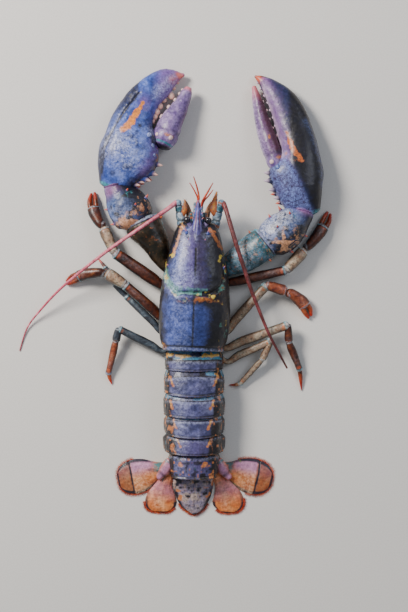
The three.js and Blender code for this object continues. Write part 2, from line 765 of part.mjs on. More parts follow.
for (const [name, leg] of Object.entries(legs)) {
  const [thigh, shank, foot] = leg.sizes;
  const at = (p) => vec(...p);
  const way = (a, b) => at(b).sub(at(a)).normalize();
  const mitre = (a, b, c) => way(a, b).add(way(b, c)).normalize();
  const past = (from, to, extra) => at(to).addScaledVector(way(from, to), extra).toArray();
  const mid = (a, b, f) => at(a).lerp(at(b), f).toArray();
  const { root, hip, knee, wrist, tip } = leg;
  const kneeWay = mitre(hip, knee, wrist);
  const next = leg.ankle ?? tip;
  const wristWay = mitre(knee, wrist, next);

  let merus = loft(
    [
      [...root, thigh * 0.75, thigh * 0.8],
      [...hip, thigh * 0.72, thigh * 0.8],
      [...mid(hip, knee, 0.3), thigh, thigh * 0.86],
      [...mid(hip, knee, 0.8), thigh * 0.95, thigh * 0.85],
      [...past(hip, knee, thigh * 1.2), thigh * 0.8, thigh * 0.75],
    ],
    { sides: 8, steps: 8 },
  );
  if (leg.pincer) {
    const kneeSide = way(hip, knee).cross(vec(0, 0, 1)).normalize();
    const thorns = [-1, 1].map((hand) => ({
      point: at(mid(hip, knee, 0.94)).addScaledVector(kneeSide, hand * thigh * 0.78),
      normal: kneeSide.clone().multiplyScalar(hand).addScaledVector(way(hip, knee), 0.7).setZ(0.25).normalize(),
    }));
    merus = join([merus, ...thorns.map((thorn) => spike(thorn, 1.6, 1.1))]);
  }
  merus = keepBeyond(merus, at(knee), kneeWay.clone().negate());
  place(`leg_${name}_merus`, aboveFloor(clearOfBody(merus)), "leg");

  let carpus = loft(
    [
      [...past(wrist, knee, shank * 1.2), shank * 0.8, shank * 0.8],
      [...mid(knee, wrist, 0.2), shank * 0.9, shank * 0.9],
      [...mid(knee, wrist, 0.75), shank * 1.05, shank],
      [...past(knee, wrist, shank), shank * 0.9, shank * 0.85],
    ],
    { sides: 8, steps: 5 },
  );
  carpus = keepBeyond(keepBeyond(carpus, at(knee), kneeWay), at(wrist), wristWay.clone().negate());
  place(`leg_${name}_carpus`, aboveFloor(carpus), "leg");

  const pieces = [];
  if (leg.pincer) {
    const length = at(tip).distanceTo(at(wrist));
    const palmEnd = 1 - leg.pincer / length;
    const side = way(wrist, tip).cross(vec(0, 0, 1)).normalize();
    const beside = (f, offset) =>
      at(wrist)
        .lerp(at(tip), f)
        .addScaledVector(side, leg.bow * 4 * f * (1 - f) + offset)
        .toArray();
    pieces.push(
      loft(
        [
          [...past(tip, wrist, foot * 0.6), foot * 0.62, foot * 0.65],
          [...beside(0.16, 0), foot * 0.78, foot * 0.75],
          [...beside(palmEnd * 0.75, 0), foot, foot * 0.8],
          [...beside(palmEnd, 0), foot * 0.98, foot * 0.75],
        ],
        { sides: 8, steps: 5, endCap: foot * 0.5 },
      ),
    );
    for (const hand of [-1, 1]) {
      pieces.push(
        loft(
          [
            [...beside(palmEnd - 0.06, hand * foot * 0.47), foot * 0.44, foot * 0.62],
            [...beside((1 + palmEnd) / 2, hand * foot * 0.52), foot * 0.37, foot * 0.46],
            [...beside(0.98, hand * foot * 0.28), foot * 0.2, foot * 0.22],
          ],
          { sides: 6, steps: 4, endCap: foot * 0.15 },
        ),
      );
    }
  } else {
    pieces.push(
      loft(
        [
          [...past(next, wrist, foot), foot * 0.85, foot * 0.85],
          [...mid(wrist, next, 0.3), foot, foot * 0.9],
          [...next, foot * 0.72, foot * 0.72],
        ],
        { sides: 8, steps: 4, endCap: foot * 0.4 },
      ),
      loft(
        [
          [...mid(wrist, next, 0.93), foot * 0.62, foot * 0.66],
          [...mid(next, tip, 0.4), foot * 0.5, foot * 0.5],
          [...tip, 0.3, 0.35],
        ],
        { sides: 6, steps: 3 },
      ),
    );
  }
  const end = aboveFloor(keepBeyond(join(pieces), at(wrist), wristWay));
  place(`leg_${name}_propodus`, end, leg.pincer ? "legTip" : "leg");
}

// Abdomen: six rings, each an arch with a pointed side plate, over a soft belly

// Front, rear, half widths, tops and bows of the front and rear edge, and how far the side plate flares
const ringRows = [
  [-37.9, -51.2, 20.4, 20.9, 27, 28, 0, 1.4, 0.8],
  [-51.7, -68.9, 21.2, 21.4, 28, 28.5, 1.4, 2.5, 1],
  [-69.7, -85.4, 21.2, 21.2, 27.6, 28, 2.5, 1.6, 1.6],
  [-85.9, -98.8, 20.6, 20.6, 26.6, 27, 1.6, 3, 2],
  [-99.7, -112.8, 20, 20, 25, 25.5, 3, 1.8, 3.2],
  [-113.5, -131.6, 19, 16.6, 23, 20, 1.8, 0.9, 0.8],
];
const bellyHeight = 9;
const plateThickness = 2.2;

// One section of a tail ring: an arch down to the side plates' tips, then up their inner faces to the belly.
function tailSection(y, halfWidth, top, tip, bow, flare) {
  const arch = 14;
  const points = [];
  const shoulder = lerp(bellyHeight, top, 0.25);
  points.push(vec(tailX + halfWidth + flare, y, tip));
  for (let k = 0; k <= arch; k++) {
    const a = (k / arch) * Math.PI;
    const x = Math.sign(Math.cos(a)) * Math.abs(Math.cos(a)) ** 0.82 * halfWidth;
    const z = shoulder + Math.sin(a) ** 0.88 * (top - shoulder);
    points.push(vec(tailX + x, y - bow * Math.sin(a) ** 2, z));
  }
  points.push(vec(tailX - halfWidth - flare, y, tip));
  const inside = halfWidth - plateThickness;
  const under = Math.max(bellyHeight, tip + 0.5);
  points.push(vec(tailX - inside - flare * 0.8, y, tip));
  points.push(vec(tailX - inside + 1, y, under));
  points.push(vec(tailX + inside - 1, y, under));
  points.push(vec(tailX + inside + flare * 0.8, y, tip));
  return points;
}

const platePlaces = [0, 0.1, 0.3, 0.55, 0.8, 1]; // sections along a ring
const plateFlare = [-1.5, -1.1, 0, 0.3, 0.2, 0]; // the front tucks in under the ring ahead
const plateFoot = [11, 9, 4.5, 0, 0, 7]; // the side plate's lower edge, pointed towards the rear
const plateSpread = [0.3, 0.6, 1, 1, 0.9, 0.4];

function tailRing([front, rear, widthFront, widthRear, topFront, topRear, bowFront, bowRear, flare], isFirst) {
  const rings = platePlaces.map((t, k) =>
    tailSection(
      lerp(front, rear, t),
      lerp(widthFront, widthRear, t) + plateFlare[k],
      lerp(topFront, topRear, t) + plateFlare[k],
      Math.max(isFirst ? 7 : 0, plateFoot[k]),
      lerp(bowFront, bowRear, t),
      flare * plateSpread[k],
    ),
  );
  const poleOf = (y, top, bow) => vec(tailX, y - bow, lerp(bellyHeight, top, 0.5));
  return skin(rings, poleOf(front, topFront, bowFront * 0.85), poleOf(rear, topRear, bowRear * 0.45));
}

ringRows.forEach((row, index) => {
  const [front, rear] = row;
  const pieces = [tailRing(row, index === 0)];
  const swimmerets = index > 0 && index < 5 ? [-1, 1] : [];
  for (const way of swimmerets) {
    const y = lerp(front, rear, 0.35);
    pieces.push(
      loft(
        [
          [tailX + way * 12, y, bellyHeight + 1.5, 2, 1.2],
          [tailX + way * 12.5, y - 2, 5.5, 2.4, 1],
          [tailX + way * 12, y - 5.5, 3, 3.4, 0.7],
          [tailX + way * 11, y - 9, 2.2, 1.4, 0.5],
        ],
        { sides: 6, steps: 5, endCap: 0.6 },
      ),
    );
  }
  place(`abdomen_${index + 1}`, aboveFloor(cutBy(join(pieces), thoraxClear, carapaceClear)), "shell");
});

// Tail fan: the telson between two pairs of broad paddles

const telsonRows = [
  [-131.9, -0.6, 15.2, 8.6],
  [-136.4, -0.6, 15.3, 8],
  [-142, -0.5, 14.4, 7],
  [-147.7, -0.4, 12.9, 6],
  [-152, -0.2, 10.8, 5.2],
  [-155.8, 0, 8, 4.4],
  [-158.6, 0, 4.6, 3.6],
  [-160.4, 0, 1.6, 3],
];

// A flat-bottomed paddle along stations [x, y, half width, thickness], with a raised middle rib.
function paddle(stations, { steps = 9, rib = 0.8, grow = 0 } = {}) {
  const rings = [];
  const across = [-1, -0.96, -0.62, -0.22, 0, 0.22, 0.62, 0.96, 1];
  const crown = [0.25, 0.45, 0.85, 1, 1, 1, 0.85, 0.45, 0.25];
  const at = (t) => between(stations, t);
  for (let i = 0; i <= steps; i++) {
    const t = i / steps;
    const [x, y, w, thick] = at(t);
    const [a, b] = [at(Math.max(0, t - 0.05)), at(Math.min(1, t + 0.05))];
    const along = vec(b[0] - a[0], b[1] - a[1], 0).normalize();
    const side = along.clone().cross(vec(0, 0, 1));
    const low = -grow;
    const push = i === 0 ? -grow : i === steps ? grow : 0;
    const centre = vec(x, y, 0).addScaledVector(along, push);
    const top = across.map((f, k) => {
      const height = thick * crown[k] + (k === 4 ? rib * (1 - t) : 0) + grow;
      return centre.clone().addScaledVector(side, f * (w + grow)).setZ(height);
    });
    const bottom = [1, -1].map((f) => centre.clone().addScaledVector(side, f * (w * 0.97 + grow)).setZ(low));
    rings.push([...top, ...bottom]);
  }
  const poleOf = (list) => vec(list[4].x, list[4].y, list[4].z * 0.5);
  return skin(rings, poleOf(rings[0]), poleOf(rings.at(-1)));
}

const telsonStations = telsonRows.map(([y, x, w, thick]) => [x, y, w, thick]);
const telsonClear = paddle(telsonStations, { grow: gap });
place("telson", paddle(telsonStations), "shell");

const paddles = {
  left: {
    endopod: [
      [-16, -127, 2.8, 5],
      [-19.2, -132, 4.2, 4.4],
      [-22.2, -138, 6.4, 3.8],
      [-23.8, -144.6, 9.8, 3.2],
      [-24.8, -150.8, 11.8, 2.6],
      [-24.4, -155.2, 10.8, 2.2],
      [-24.2, -157.8, 7.4, 1.8],
      [-24.2, -158.8, 3.4, 1.6],
    ],
    exopod: [
      [-19, -124.6, 3, 4.6],
      [-27, -127.2, 6.4, 4],
      [-35, -129.8, 11.2, 3.4],
      [-43, -132.2, 13.2, 2.9],
      [-50, -133.6, 12, 2.4],
      [-54.8, -134.4, 8.6, 2],
      [-57, -134.8, 4, 1.6],
    ],
  },
  right: {
    endopod: [
      [14.5, -127, 2.8, 5],
      [18, -132, 4.2, 4.4],
      [21.6, -138, 6.4, 3.8],
      [24.2, -144.8, 9.8, 3.2],
      [25.4, -150.8, 11.9, 2.6],
      [24.6, -155.4, 10.4, 2.2],
      [23.6, -158.2, 6.8, 1.8],
      [23.4, -159.4, 3.2, 1.6],
    ],
    exopod: [
      [17.5, -124.6, 3, 4.6],
      [26, -127.2, 6.5, 4],
      [34.4, -129.6, 11.2, 3.4],
      [43, -132, 13.4, 2.9],
      [51, -134, 12.4, 2.4],
      [56, -135.2, 8.8, 2],
      [58.4, -135.8, 4, 1.6],
    ],
  },
};
const [lastFront, lastRear, lastWide, lastNarrow] = ringRows.at(-1);
const tailClear = paddle(
  [0, 0.25, 0.5, 0.75, 1].map((t) => [tailX, lerp(lastFront, lastRear, t), lerp(lastWide, lastNarrow, t) + 1.4, 12]),
  { steps: 4, grow: gap },
);
for (const [name, { endopod, exopod }] of Object.entries(paddles)) {
  const inner = cutBy(paddle(endopod), telsonClear, tailClear);
  place(`uropod_${name}_endopod`, inner, "fan");
  place(`uropod_${name}_exopod`, cutBy(paddle(exopod), paddle(endopod, { grow: gap }), telsonClear, tailClear), "fan");
}

export default lobster;
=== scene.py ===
import math

import bpy
import numpy as np
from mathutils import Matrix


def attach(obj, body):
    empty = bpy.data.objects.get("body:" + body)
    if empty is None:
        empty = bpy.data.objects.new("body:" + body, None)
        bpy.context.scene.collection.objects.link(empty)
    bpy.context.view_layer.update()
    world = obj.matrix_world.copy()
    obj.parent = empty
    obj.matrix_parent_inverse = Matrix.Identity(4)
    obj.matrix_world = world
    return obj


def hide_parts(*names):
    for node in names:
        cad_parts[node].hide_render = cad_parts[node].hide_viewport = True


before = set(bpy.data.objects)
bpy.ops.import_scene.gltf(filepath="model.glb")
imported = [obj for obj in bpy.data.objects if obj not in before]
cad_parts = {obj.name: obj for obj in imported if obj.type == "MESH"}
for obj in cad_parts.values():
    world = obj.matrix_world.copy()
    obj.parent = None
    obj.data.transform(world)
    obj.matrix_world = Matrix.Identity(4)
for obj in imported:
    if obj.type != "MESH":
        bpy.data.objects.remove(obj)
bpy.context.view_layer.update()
mm = 0.001
lowest = 0.02  # mm, the least height of any point above the floor
print("frame loaded")


# Curves and forms, in millimetres


def lerp(a, b, f):
    return a + (b - a) * f


def ease(low, high, v):  # 0 up to low, 1 from high
    f = np.clip((v - low) / (high - low), 0, 1)
    return f * f * (3 - 2 * f)


def bump(v, centre, width):  # 1 at the centre, fading over the width
    return np.exp(-(((v - centre) / width) ** 2))


def bend(v, power):
    return np.sign(v) * np.abs(v) ** (2 / power)


def unit(v):
    return v / np.maximum(np.linalg.norm(v, axis=-1, keepdims=True), 1e-9)


def between(rows, t):  # smooth values between stations
    rows = np.asarray(rows, float)
    n = len(rows) - 1
    t = np.clip(np.atleast_1d(t), 0, 1)
    i = np.minimum(n - 1, np.floor(t * n).astype(int))
    f = (t * n - i)[:, None]
    p0, p1, p2, p3 = (rows[np.clip(i + k, 0, n)] for k in (-1, 0, 1, 2))
    slopeIn, slopeOut, rise = (p2 - p0) / 2, (p3 - p1) / 2, p2 - p1
    square, cube = 3 * rise - 2 * slopeIn - slopeOut, slopeIn + slopeOut - 2 * rise
    return p1 + slopeIn * f + square * f**2 + cube * f**3


def framesAt(rows, t):  # centre, along, side, up, half width and half height
    t = np.atleast_1d(t)
    made = between(rows, t)
    window = 0.12 if len(rows) > 9 else 0.02  # palms turn slowly, so that their edges don't fold
    along = unit(between(rows, t + window)[:, :3] - between(rows, t - window)[:, :3])
    side = unit(np.cross(along, [0, 0, 1]))
    up = np.cross(side, along)
    return made[:, :3], along, side, up, np.maximum(made[:, 3], 0.2), np.maximum(made[:, 4], 0.2)


def surfaceAt(rows, t, degrees, power=2):  # 0 degrees is the right side, looking along
    centre, along, side, up, w, h = framesAt(rows, t)
    a = math.radians(degrees)
    point = centre[0] + side[0] * bend(math.cos(a), power) * w[0] + up[0] * bend(math.sin(a), power) * h[0]
    normal = unit(side[0] * math.cos(a) / w[0] + up[0] * math.sin(a) / h[0])
    return point, normal


def valueNoise(points, size, seed=0):  # smooth lumps from -1 to 1
    q = points / size + seed * 11.7
    cell = np.floor(q).astype(np.int64)
    f = q - cell
    f = f * f * (3 - 2 * f)
    total = 0
    for corner in np.ndindex(2, 2, 2):
        c = cell + np.array(corner)
        n = c[..., 0] * 374761393 + c[..., 1] * 668265263 + c[..., 2] * 1442695041 + seed * 97531
        n = (n ^ (n >> 13)) * 1274126177
        n = (n ^ (n >> 16)) & 0xFFFF
        weight = np.prod(np.where(np.array(corner) == 1, f, 1 - f), axis=-1)
        total = total + weight * (n / 32767.5 - 1)
    return total


def lumpy(grid, *layers):  # size, seed and height of each
    return sum(valueNoise(grid, size, seed) * height for size, seed, height in layers)


def grainy(grid, size, seed, height):  # granules standing up from a smooth ground
    return np.maximum(0, valueNoise(grid, size, seed)) * height


def gridNormals(grid):  # outward normals of rings of points
    around = np.roll(grid, -1, axis=1) - np.roll(grid, 1, axis=1)
    along = np.gradient(grid, axis=0)
    normals = unit(np.cross(around, along))
    centres = grid.mean(axis=1, keepdims=True)
    turned = np.sum(normals * (grid - centres))
    return normals * (-1 if turned < 0 else 1)


def facing(degrees, middle, spread):  # how nearly an angle points a way
    away = (degrees - middle + 180) % 360 - 180
    return np.exp(-((away / spread) ** 2))


def streak(grid, points, width):  # 1 along a line drawn on the object from above, fading over the width
    nearest = np.full(grid.shape[:-1], 1e9)
    for a, b in zip(points[:-1], points[1:]):
        a, ab = np.array(a, float), np.array(b, float) - np.array(a, float)
        p = grid[..., :2] - a
        f = np.clip(p @ ab / max(ab @ ab, 1e-6), 0, 1)
        nearest = np.minimum(nearest, np.linalg.norm(p - f[..., None] * ab, axis=-1))
    nearest = nearest + valueNoise(grid, 2.6, 51) * width * 0.4
    return np.exp(-((np.maximum(nearest, 0) / width) ** 2))


def spot(grid, x, y, width):
    away = np.hypot(grid[..., 0] - x, grid[..., 1] - y) + valueNoise(grid, 1.9, 52) * width * 0.45
    return np.exp(-((np.maximum(away, 0) / width) ** 2))


def partOf(grid, startPole, endPole, **marks):  # a closed part from rings of points
    rings, sides, _ = grid.shape
    points = np.concatenate([grid.reshape(-1, 3), [startPole, endPole]])
    i, k = np.meshgrid(np.arange(rings - 1), np.arange(sides), indexing="ij")
    a, b = (i * sides + k).ravel(), (i * sides + (k + 1) % sides).ravel()
    quads = np.stack([a, b, b + sides, a + sides], 1)
    k = np.arange(sides)
    last = (rings - 1) * sides
    first = np.stack([np.full(sides, rings * sides), (k + 1) % sides, k], 1)
    final = np.stack([np.full(sides, rings * sides + 1), last + k, last + (k + 1) % sides], 1)
    tris = np.concatenate([first, final])
    corners = points[np.concatenate([quads[:, :3], quads[:, [0, 2, 3]], tris])]
    volume = np.sum(corners[:, 0] * np.cross(corners[:, 1], corners[:, 2]))
    if volume < 0:
        quads, tris = quads[:, ::-1], tris[:, ::-1]
    full = {}
    for name, values in marks.items():
        values = np.broadcast_to(values, (rings, sides)).astype(float)
        full[name] = np.concatenate([values.ravel(), [values[0].mean(), values[-1].mean()]])
    return {"points": points, "faces": quads.tolist() + tris.tolist(), "marks": full}


def loft(rows, sides, steps, power=2, startCap=0, endCap=0, capRings=6, form=None, marks=None, socket=None):
    t = np.linspace(0, 1, steps + 1)
    turn = np.arange(1, capRings + 1) / (capRings + 1) * math.pi / 2
    ts, push, scale = [t], [np.zeros(steps + 1)], [np.ones(steps + 1)]
    if startCap:
        ts.insert(0, np.zeros(capRings))
        push.insert(0, -startCap * np.sin(turn[::-1]))
        scale.insert(0, np.cos(turn[::-1]))
    if endCap:
        ts.append(np.ones(capRings))
        push.append(endCap * np.sin(turn))
        scale.append(np.cos(turn))
    t, push, scale = np.concatenate(ts), np.concatenate(push), np.concatenate(scale)
    centre, along, side, up, w, h = framesAt(rows, t)
    length = np.sum(np.linalg.norm(np.diff(centre, axis=0), axis=1))
    reach = (t + push / length)[:, None]  # below 0 and above 1 in the rounded ends
    centre = centre + along * push[:, None]
    angle = (np.arange(sides) + 0.5) / sides * 2 * math.pi
    across = bend(np.cos(angle), power)[None, :, None] * (w * scale)[:, None, None] * side[:, None]
    rise = bend(np.sin(angle), power)[None, :, None] * (h * scale)[:, None, None] * up[:, None]
    grid = centre[:, None] + across + rise
    degrees = np.degrees(angle)[None, :]
    if form:
        grid = grid + gridNormals(grid) * (
            form(reach, degrees, grid) * np.minimum(1, 1.3 * scale[:, None])
        )[..., None]
    if socket is not None:
        grid = sunkFrom(grid, centre, socket)
    made = marks(reach, degrees, grid) if marks else {}
    startPole = centre[0] - along[0] * (startCap * (1 - math.sin(turn[-1])) if startCap else 0)
    endPole = centre[-1] + along[-1] * (endCap * (1 - math.sin(turn[-1])) if endCap else 0)
    return partOf(grid, startPole, endPole, **made)


def sunkFrom(grid, centre, other, clear=0.35):  # draws the surface in to its axis, off another loft
    t = np.linspace(0, 1, 60)
    c, along, side, up, w, h = framesAt(other, t)
    shrink = np.ones(grid.shape[:2])
    done = np.zeros(grid.shape[:2], bool)
    for s in np.linspace(1, 0.3, 36):
        trial = centre[:, None] + (grid - centre[:, None]) * s
        inside = np.zeros(grid.shape[:2], bool)
        for k in range(len(t)):
            away = trial - c[k]
            ahead = away @ along[k]
            u, v = away @ side[k], away @ up[k]
            reach = np.where((k == 0) & (ahead < 0), 5.5, 1.6)
            inside |= (u / (w[k] + clear)) ** 2 + (v / (h[k] + clear)) ** 2 + (ahead / reach) ** 2 < 1
        fits = ~inside & ~done
        shrink[fits] = s
        done |= fits
    return centre[:, None] + (grid - centre[:, None]) * shrink[..., None]


def spike(at, length, radius, lean=(0, 0, 0), sides=12, rings=8, tip="tip", curl=0.25):
    point, normal = np.array(at[0], float), unit(np.array(at[1], float))
    way = unit(normal + np.array(lean))
    across = np.array([0, 0, 1.0]) if abs(way[2]) < 0.9 else np.array([1.0, 0, 0])
    side = unit(np.cross(way, across))
    up = np.cross(side, way)
    s = np.linspace(0, 0.96, rings)
    angle = np.arange(sides) / sides * 2 * math.pi
    r = radius * ((1 - s) ** 0.85 + 0.45 * np.exp(-s * 7))
    reach = length + radius
    curve = way[None] * (s * reach)[:, None] + np.array(lean)[None] * (curl * reach * s**2)[:, None]
    ring = side * np.cos(angle)[:, None] + up * np.sin(angle)[:, None]
    grid = (point - way * radius)[None, None] + curve[:, None] + ring[None] * r[:, None, None]
    end = point - way * radius + way * reach + np.array(lean) * curl * reach
    return partOf(grid, grid[0].mean(0), end, **{tip: ease(0.35, 0.8, s)[:, None]})


def molar(at, height, radius, mark="pale", sides=14, rings=7):  # a blunt tooth or knob
    point, normal = at
    side = unit(np.cross(normal, [0, 0, 1]))
    up = np.cross(side, normal)
    turn = np.linspace(0, math.pi / 2 * 0.94, rings)
    angle = np.arange(sides) / sides * 2 * math.pi
    lift = np.concatenate([[-radius * 0.7], height * np.sin(turn)])
    r = radius * np.concatenate([[1.1], np.cos(turn) ** 0.7])
    ring = side * np.cos(angle)[:, None] + up * np.sin(angle)[:, None]
    grid = point + normal * lift[:, None, None] + ring[None] * r[:, None, None]
    return partOf(
        grid, grid[0].mean(0), point + normal * height, **{mark: ease(-0.6, 0.35, lift / height)[:, None]}
    )


# Meshes and their materials


def toLinear(text):
    channels = [int(text[k : k + 2], 16) / 255 for k in (1, 3, 5)]
    return [c / 12.92 if c <= 0.04045 else ((c + 0.055) / 1.055) ** 2.4 for c in channels] + [1]


def addNode(tree, kind, inputs=(), output=0, **settings):  # inputs by name or in order
    made = tree.nodes.new(kind)
    for key, value in settings.items():
        setattr(made, key, value)
    for key, value in inputs.items() if isinstance(inputs, dict) else enumerate(inputs):
        if isinstance(value, bpy.types.NodeSocket):
            tree.links.new(value, made.inputs[key])
        else:
            made.inputs[key].default_value = value
    return made if output is None else made.outputs[output]


def addRamp(tree, value, stops):
    made = addNode(tree, "ShaderNodeValToRGB", (value,), None)
    ramp = made.color_ramp
    while len(ramp.elements) < len(stops):
        ramp.elements.new(0.5)
    for element, (place, colour) in zip(ramp.elements, stops):
        element.position = place
        element.color = toLinear(colour)
    return made.outputs[0]


markNames = ("warm", "gold", "peach", "cool", "violet", "light", "dark", "tip", "pale")
rampStops = {2: (0.3, 0.6), 3: (0.3, 0.5, 0.7), 4: (0.3, 0.46, 0.58, 0.72)}


def shellMaterial(name, look):  # chitin: patches, soft tints that also lay painted shade, broken blotches, granules that also lay painted highlights, pores, coloured tips
    material = bpy.data.materials.new(name)
    material.use_nodes = True
    tree = material.node_tree
    tree.nodes.clear()
    place = addNode(tree, "ShaderNodeTexCoord", output="Object")
    marks = {}
    for key in markNames:
        if key in look:
            marks[key] = addNode(tree, "ShaderNodeAttribute", output="Fac", attribute_name=key)
    grains = {}
    for key, size, detail, rough, distortion in (  # sizes in mm
        ("patches", look.get("patch", 14), 5, 0.6, 0.6), ("broken", look.get("blotch", 3.4), 6, 0.78, 0.5),
        ("fine", look.get("grain", 2), 5, 0.65, 0), ("grit", 0.9, 3, 0.7, 0),
    ):
        inputs = {"Vector": place, "Scale": 1 / (size * mm), "Detail": detail, "Roughness": rough}
        grains[key] = addNode(tree, "ShaderNodeTexNoise", {**inputs, "Distortion": distortion})
    fine, broken = grains["fine"], grains["broken"]
    pits = addNode(tree, "ShaderNodeTexVoronoi", {"Vector": place, "Scale": 1 / (look.get("pit", 1.7) * mm)})

    def over(below, colour, *factors):  # by its factors multiplied, a tuple being the inputs of a Map Range
        sockets = [addNode(tree, "ShaderNodeMapRange", f) if isinstance(f, tuple) else f for f in factors]
        strength = sockets[0]
        for factor in sockets[1:]:
            strength = addNode(
                tree, "ShaderNodeMath", (strength, factor), operation="MULTIPLY", use_clamp=True,
            )
        return addNode(
            tree, "ShaderNodeMix", {0: strength, 6: below, 7: toLinear(colour)}, 2, data_type="RGBA",
        )

    stops = look.get("stops", rampStops[len(look["base"])])
    colour = addRamp(tree, grains["patches"], list(zip(stops, look["base"])))
    for size, low, high, tint, strength in look.get("specks", []):
        inputs = {
            "Vector": place, "Scale": 1 / (size * mm), "Detail": 3, "Roughness": 0.6, "Distortion": 0.3,
        }
        colour = over(colour, tint, (addNode(tree, "ShaderNodeTexNoise", inputs), low, high), strength)
    for key in ("violet", "dark"):  # soft tints; the dark one also lays painted shade where the marks ask for it
        if key in look:
            colour = over(colour, look[key], marks[key], (broken, 0.25, 0.6, 0.85, 1.5), 0.97)
    for key in ("cool", "warm", "peach", "gold"):  # blotches with broken edges
        if key in look:
            ragged = addNode(tree, "ShaderNodeMath", (marks[key], 0.62, broken), operation="MULTIPLY_ADD")
            edges = ((ragged, 0.8, 0.98), (marks[key], 0.05, 0.3), (fine, 0.25, 0.5, 0.55, 1))
            colour = over(colour, look[key], *edges, 0.95)
    if "light" in look:  # pale granules, which also lay painted highlights and reflections where the marks ask for them
        inputs = {"Vector": place, "Scale": 1 / (look.get("granule", 1.3) * mm)}
        dots = addNode(tree, "ShaderNodeMapRange", (addNode(tree, "ShaderNodeTexVoronoi", inputs), 0.5, 0.2))
        wash = addNode(tree, "ShaderNodeMapRange", (fine, 0.35, 0.65, 0, 0.75))
        paler = addNode(tree, "ShaderNodeMath", (dots, wash), operation="MAXIMUM")
        colour = over(colour, look["light"], marks["light"], paler, 0.9)
    colour = over(colour, look.get("pore", "#0c0f1e"), (pits, 0.24, 0.1), look.get("poreStrength", 0.45))
    shades = [(fine, 0.3, 0.7, 0.62, 1.3), (grains["grit"], 0.3, 0.7, 0.82, 1.16)]
    shades = [addNode(tree, "ShaderNodeMapRange", inputs) for inputs in shades]
    shade = addNode(tree, "ShaderNodeMath", shades, operation="MULTIPLY")
    colour = addNode(
        tree, "ShaderNodeMix", {0: 1, 6: colour, 7: shade}, 2, data_type="RGBA", blend_type="MULTIPLY",
    )
    for key in ("tip", "pale"):
        if key in look:
            colour = over(colour, look[key], marks[key], 0.94)
    hollows = addNode(tree, "ShaderNodeMapRange", (pits, 0.05, 0.3, 0, 0.4))
    relief = addNode(tree, "ShaderNodeMath", (fine, 0.55, hollows), operation="MULTIPLY_ADD", use_clamp=True)
    bumps = {"Height": relief, "Strength": look.get("relief", 0.5), "Distance": 0.5 * mm}
    surface = {
        "Base Color": colour, "Normal": addNode(tree, "ShaderNodeBump", bumps),
        "Roughness": addNode(tree, "ShaderNodeMapRange", (fine, 0.3, 0.7, *look.get("rough", (0.32, 0.54)))),
        "Coat Weight": look.get("coat", 0.16), "Coat Roughness": 0.2,
    }
    shader = addNode(tree, "ShaderNodeBsdfPrincipled", surface)
    addNode(tree, "ShaderNodeOutputMaterial", (shader,), None)
    return material


def makePiece(name, parts, material):
    points, faces, marks, start = [], [], {key: [] for key in markNames}, 0
    for part in parts:
        points.append(part["points"])
        faces.extend([[v + start for v in face] for face in part["faces"]])
        for key in markNames:
            marks[key].append(part["marks"].get(key, np.zeros(len(part["points"]))))
        start += len(part["points"])
    allPoints = np.concatenate(points)
    allPoints[:, 2] = np.maximum(allPoints[:, 2], lowest)
    mesh = bpy.data.meshes.new(name)
    mesh.from_pydata((allPoints * mm).tolist(), [], faces)
    mesh.shade_smooth()
    for key in markNames:
        mesh.attributes.new(key, "FLOAT", "POINT").data.foreach_set(
            "value", np.concatenate(marks[key]).astype(np.float32),
        )
    mesh.update()
    mesh.materials.append(material)
    piece = bpy.data.objects.new(name + "_shape", mesh)
    bpy.context.scene.collection.objects.link(piece)
    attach(piece, "root")
    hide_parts(name)
    return piece


def paintFaces(piece, material, faces):  # a second material for part of a piece
    piece.data.materials.append(material)
    for k in faces:
        piece.data.polygons[k].material_index = 1


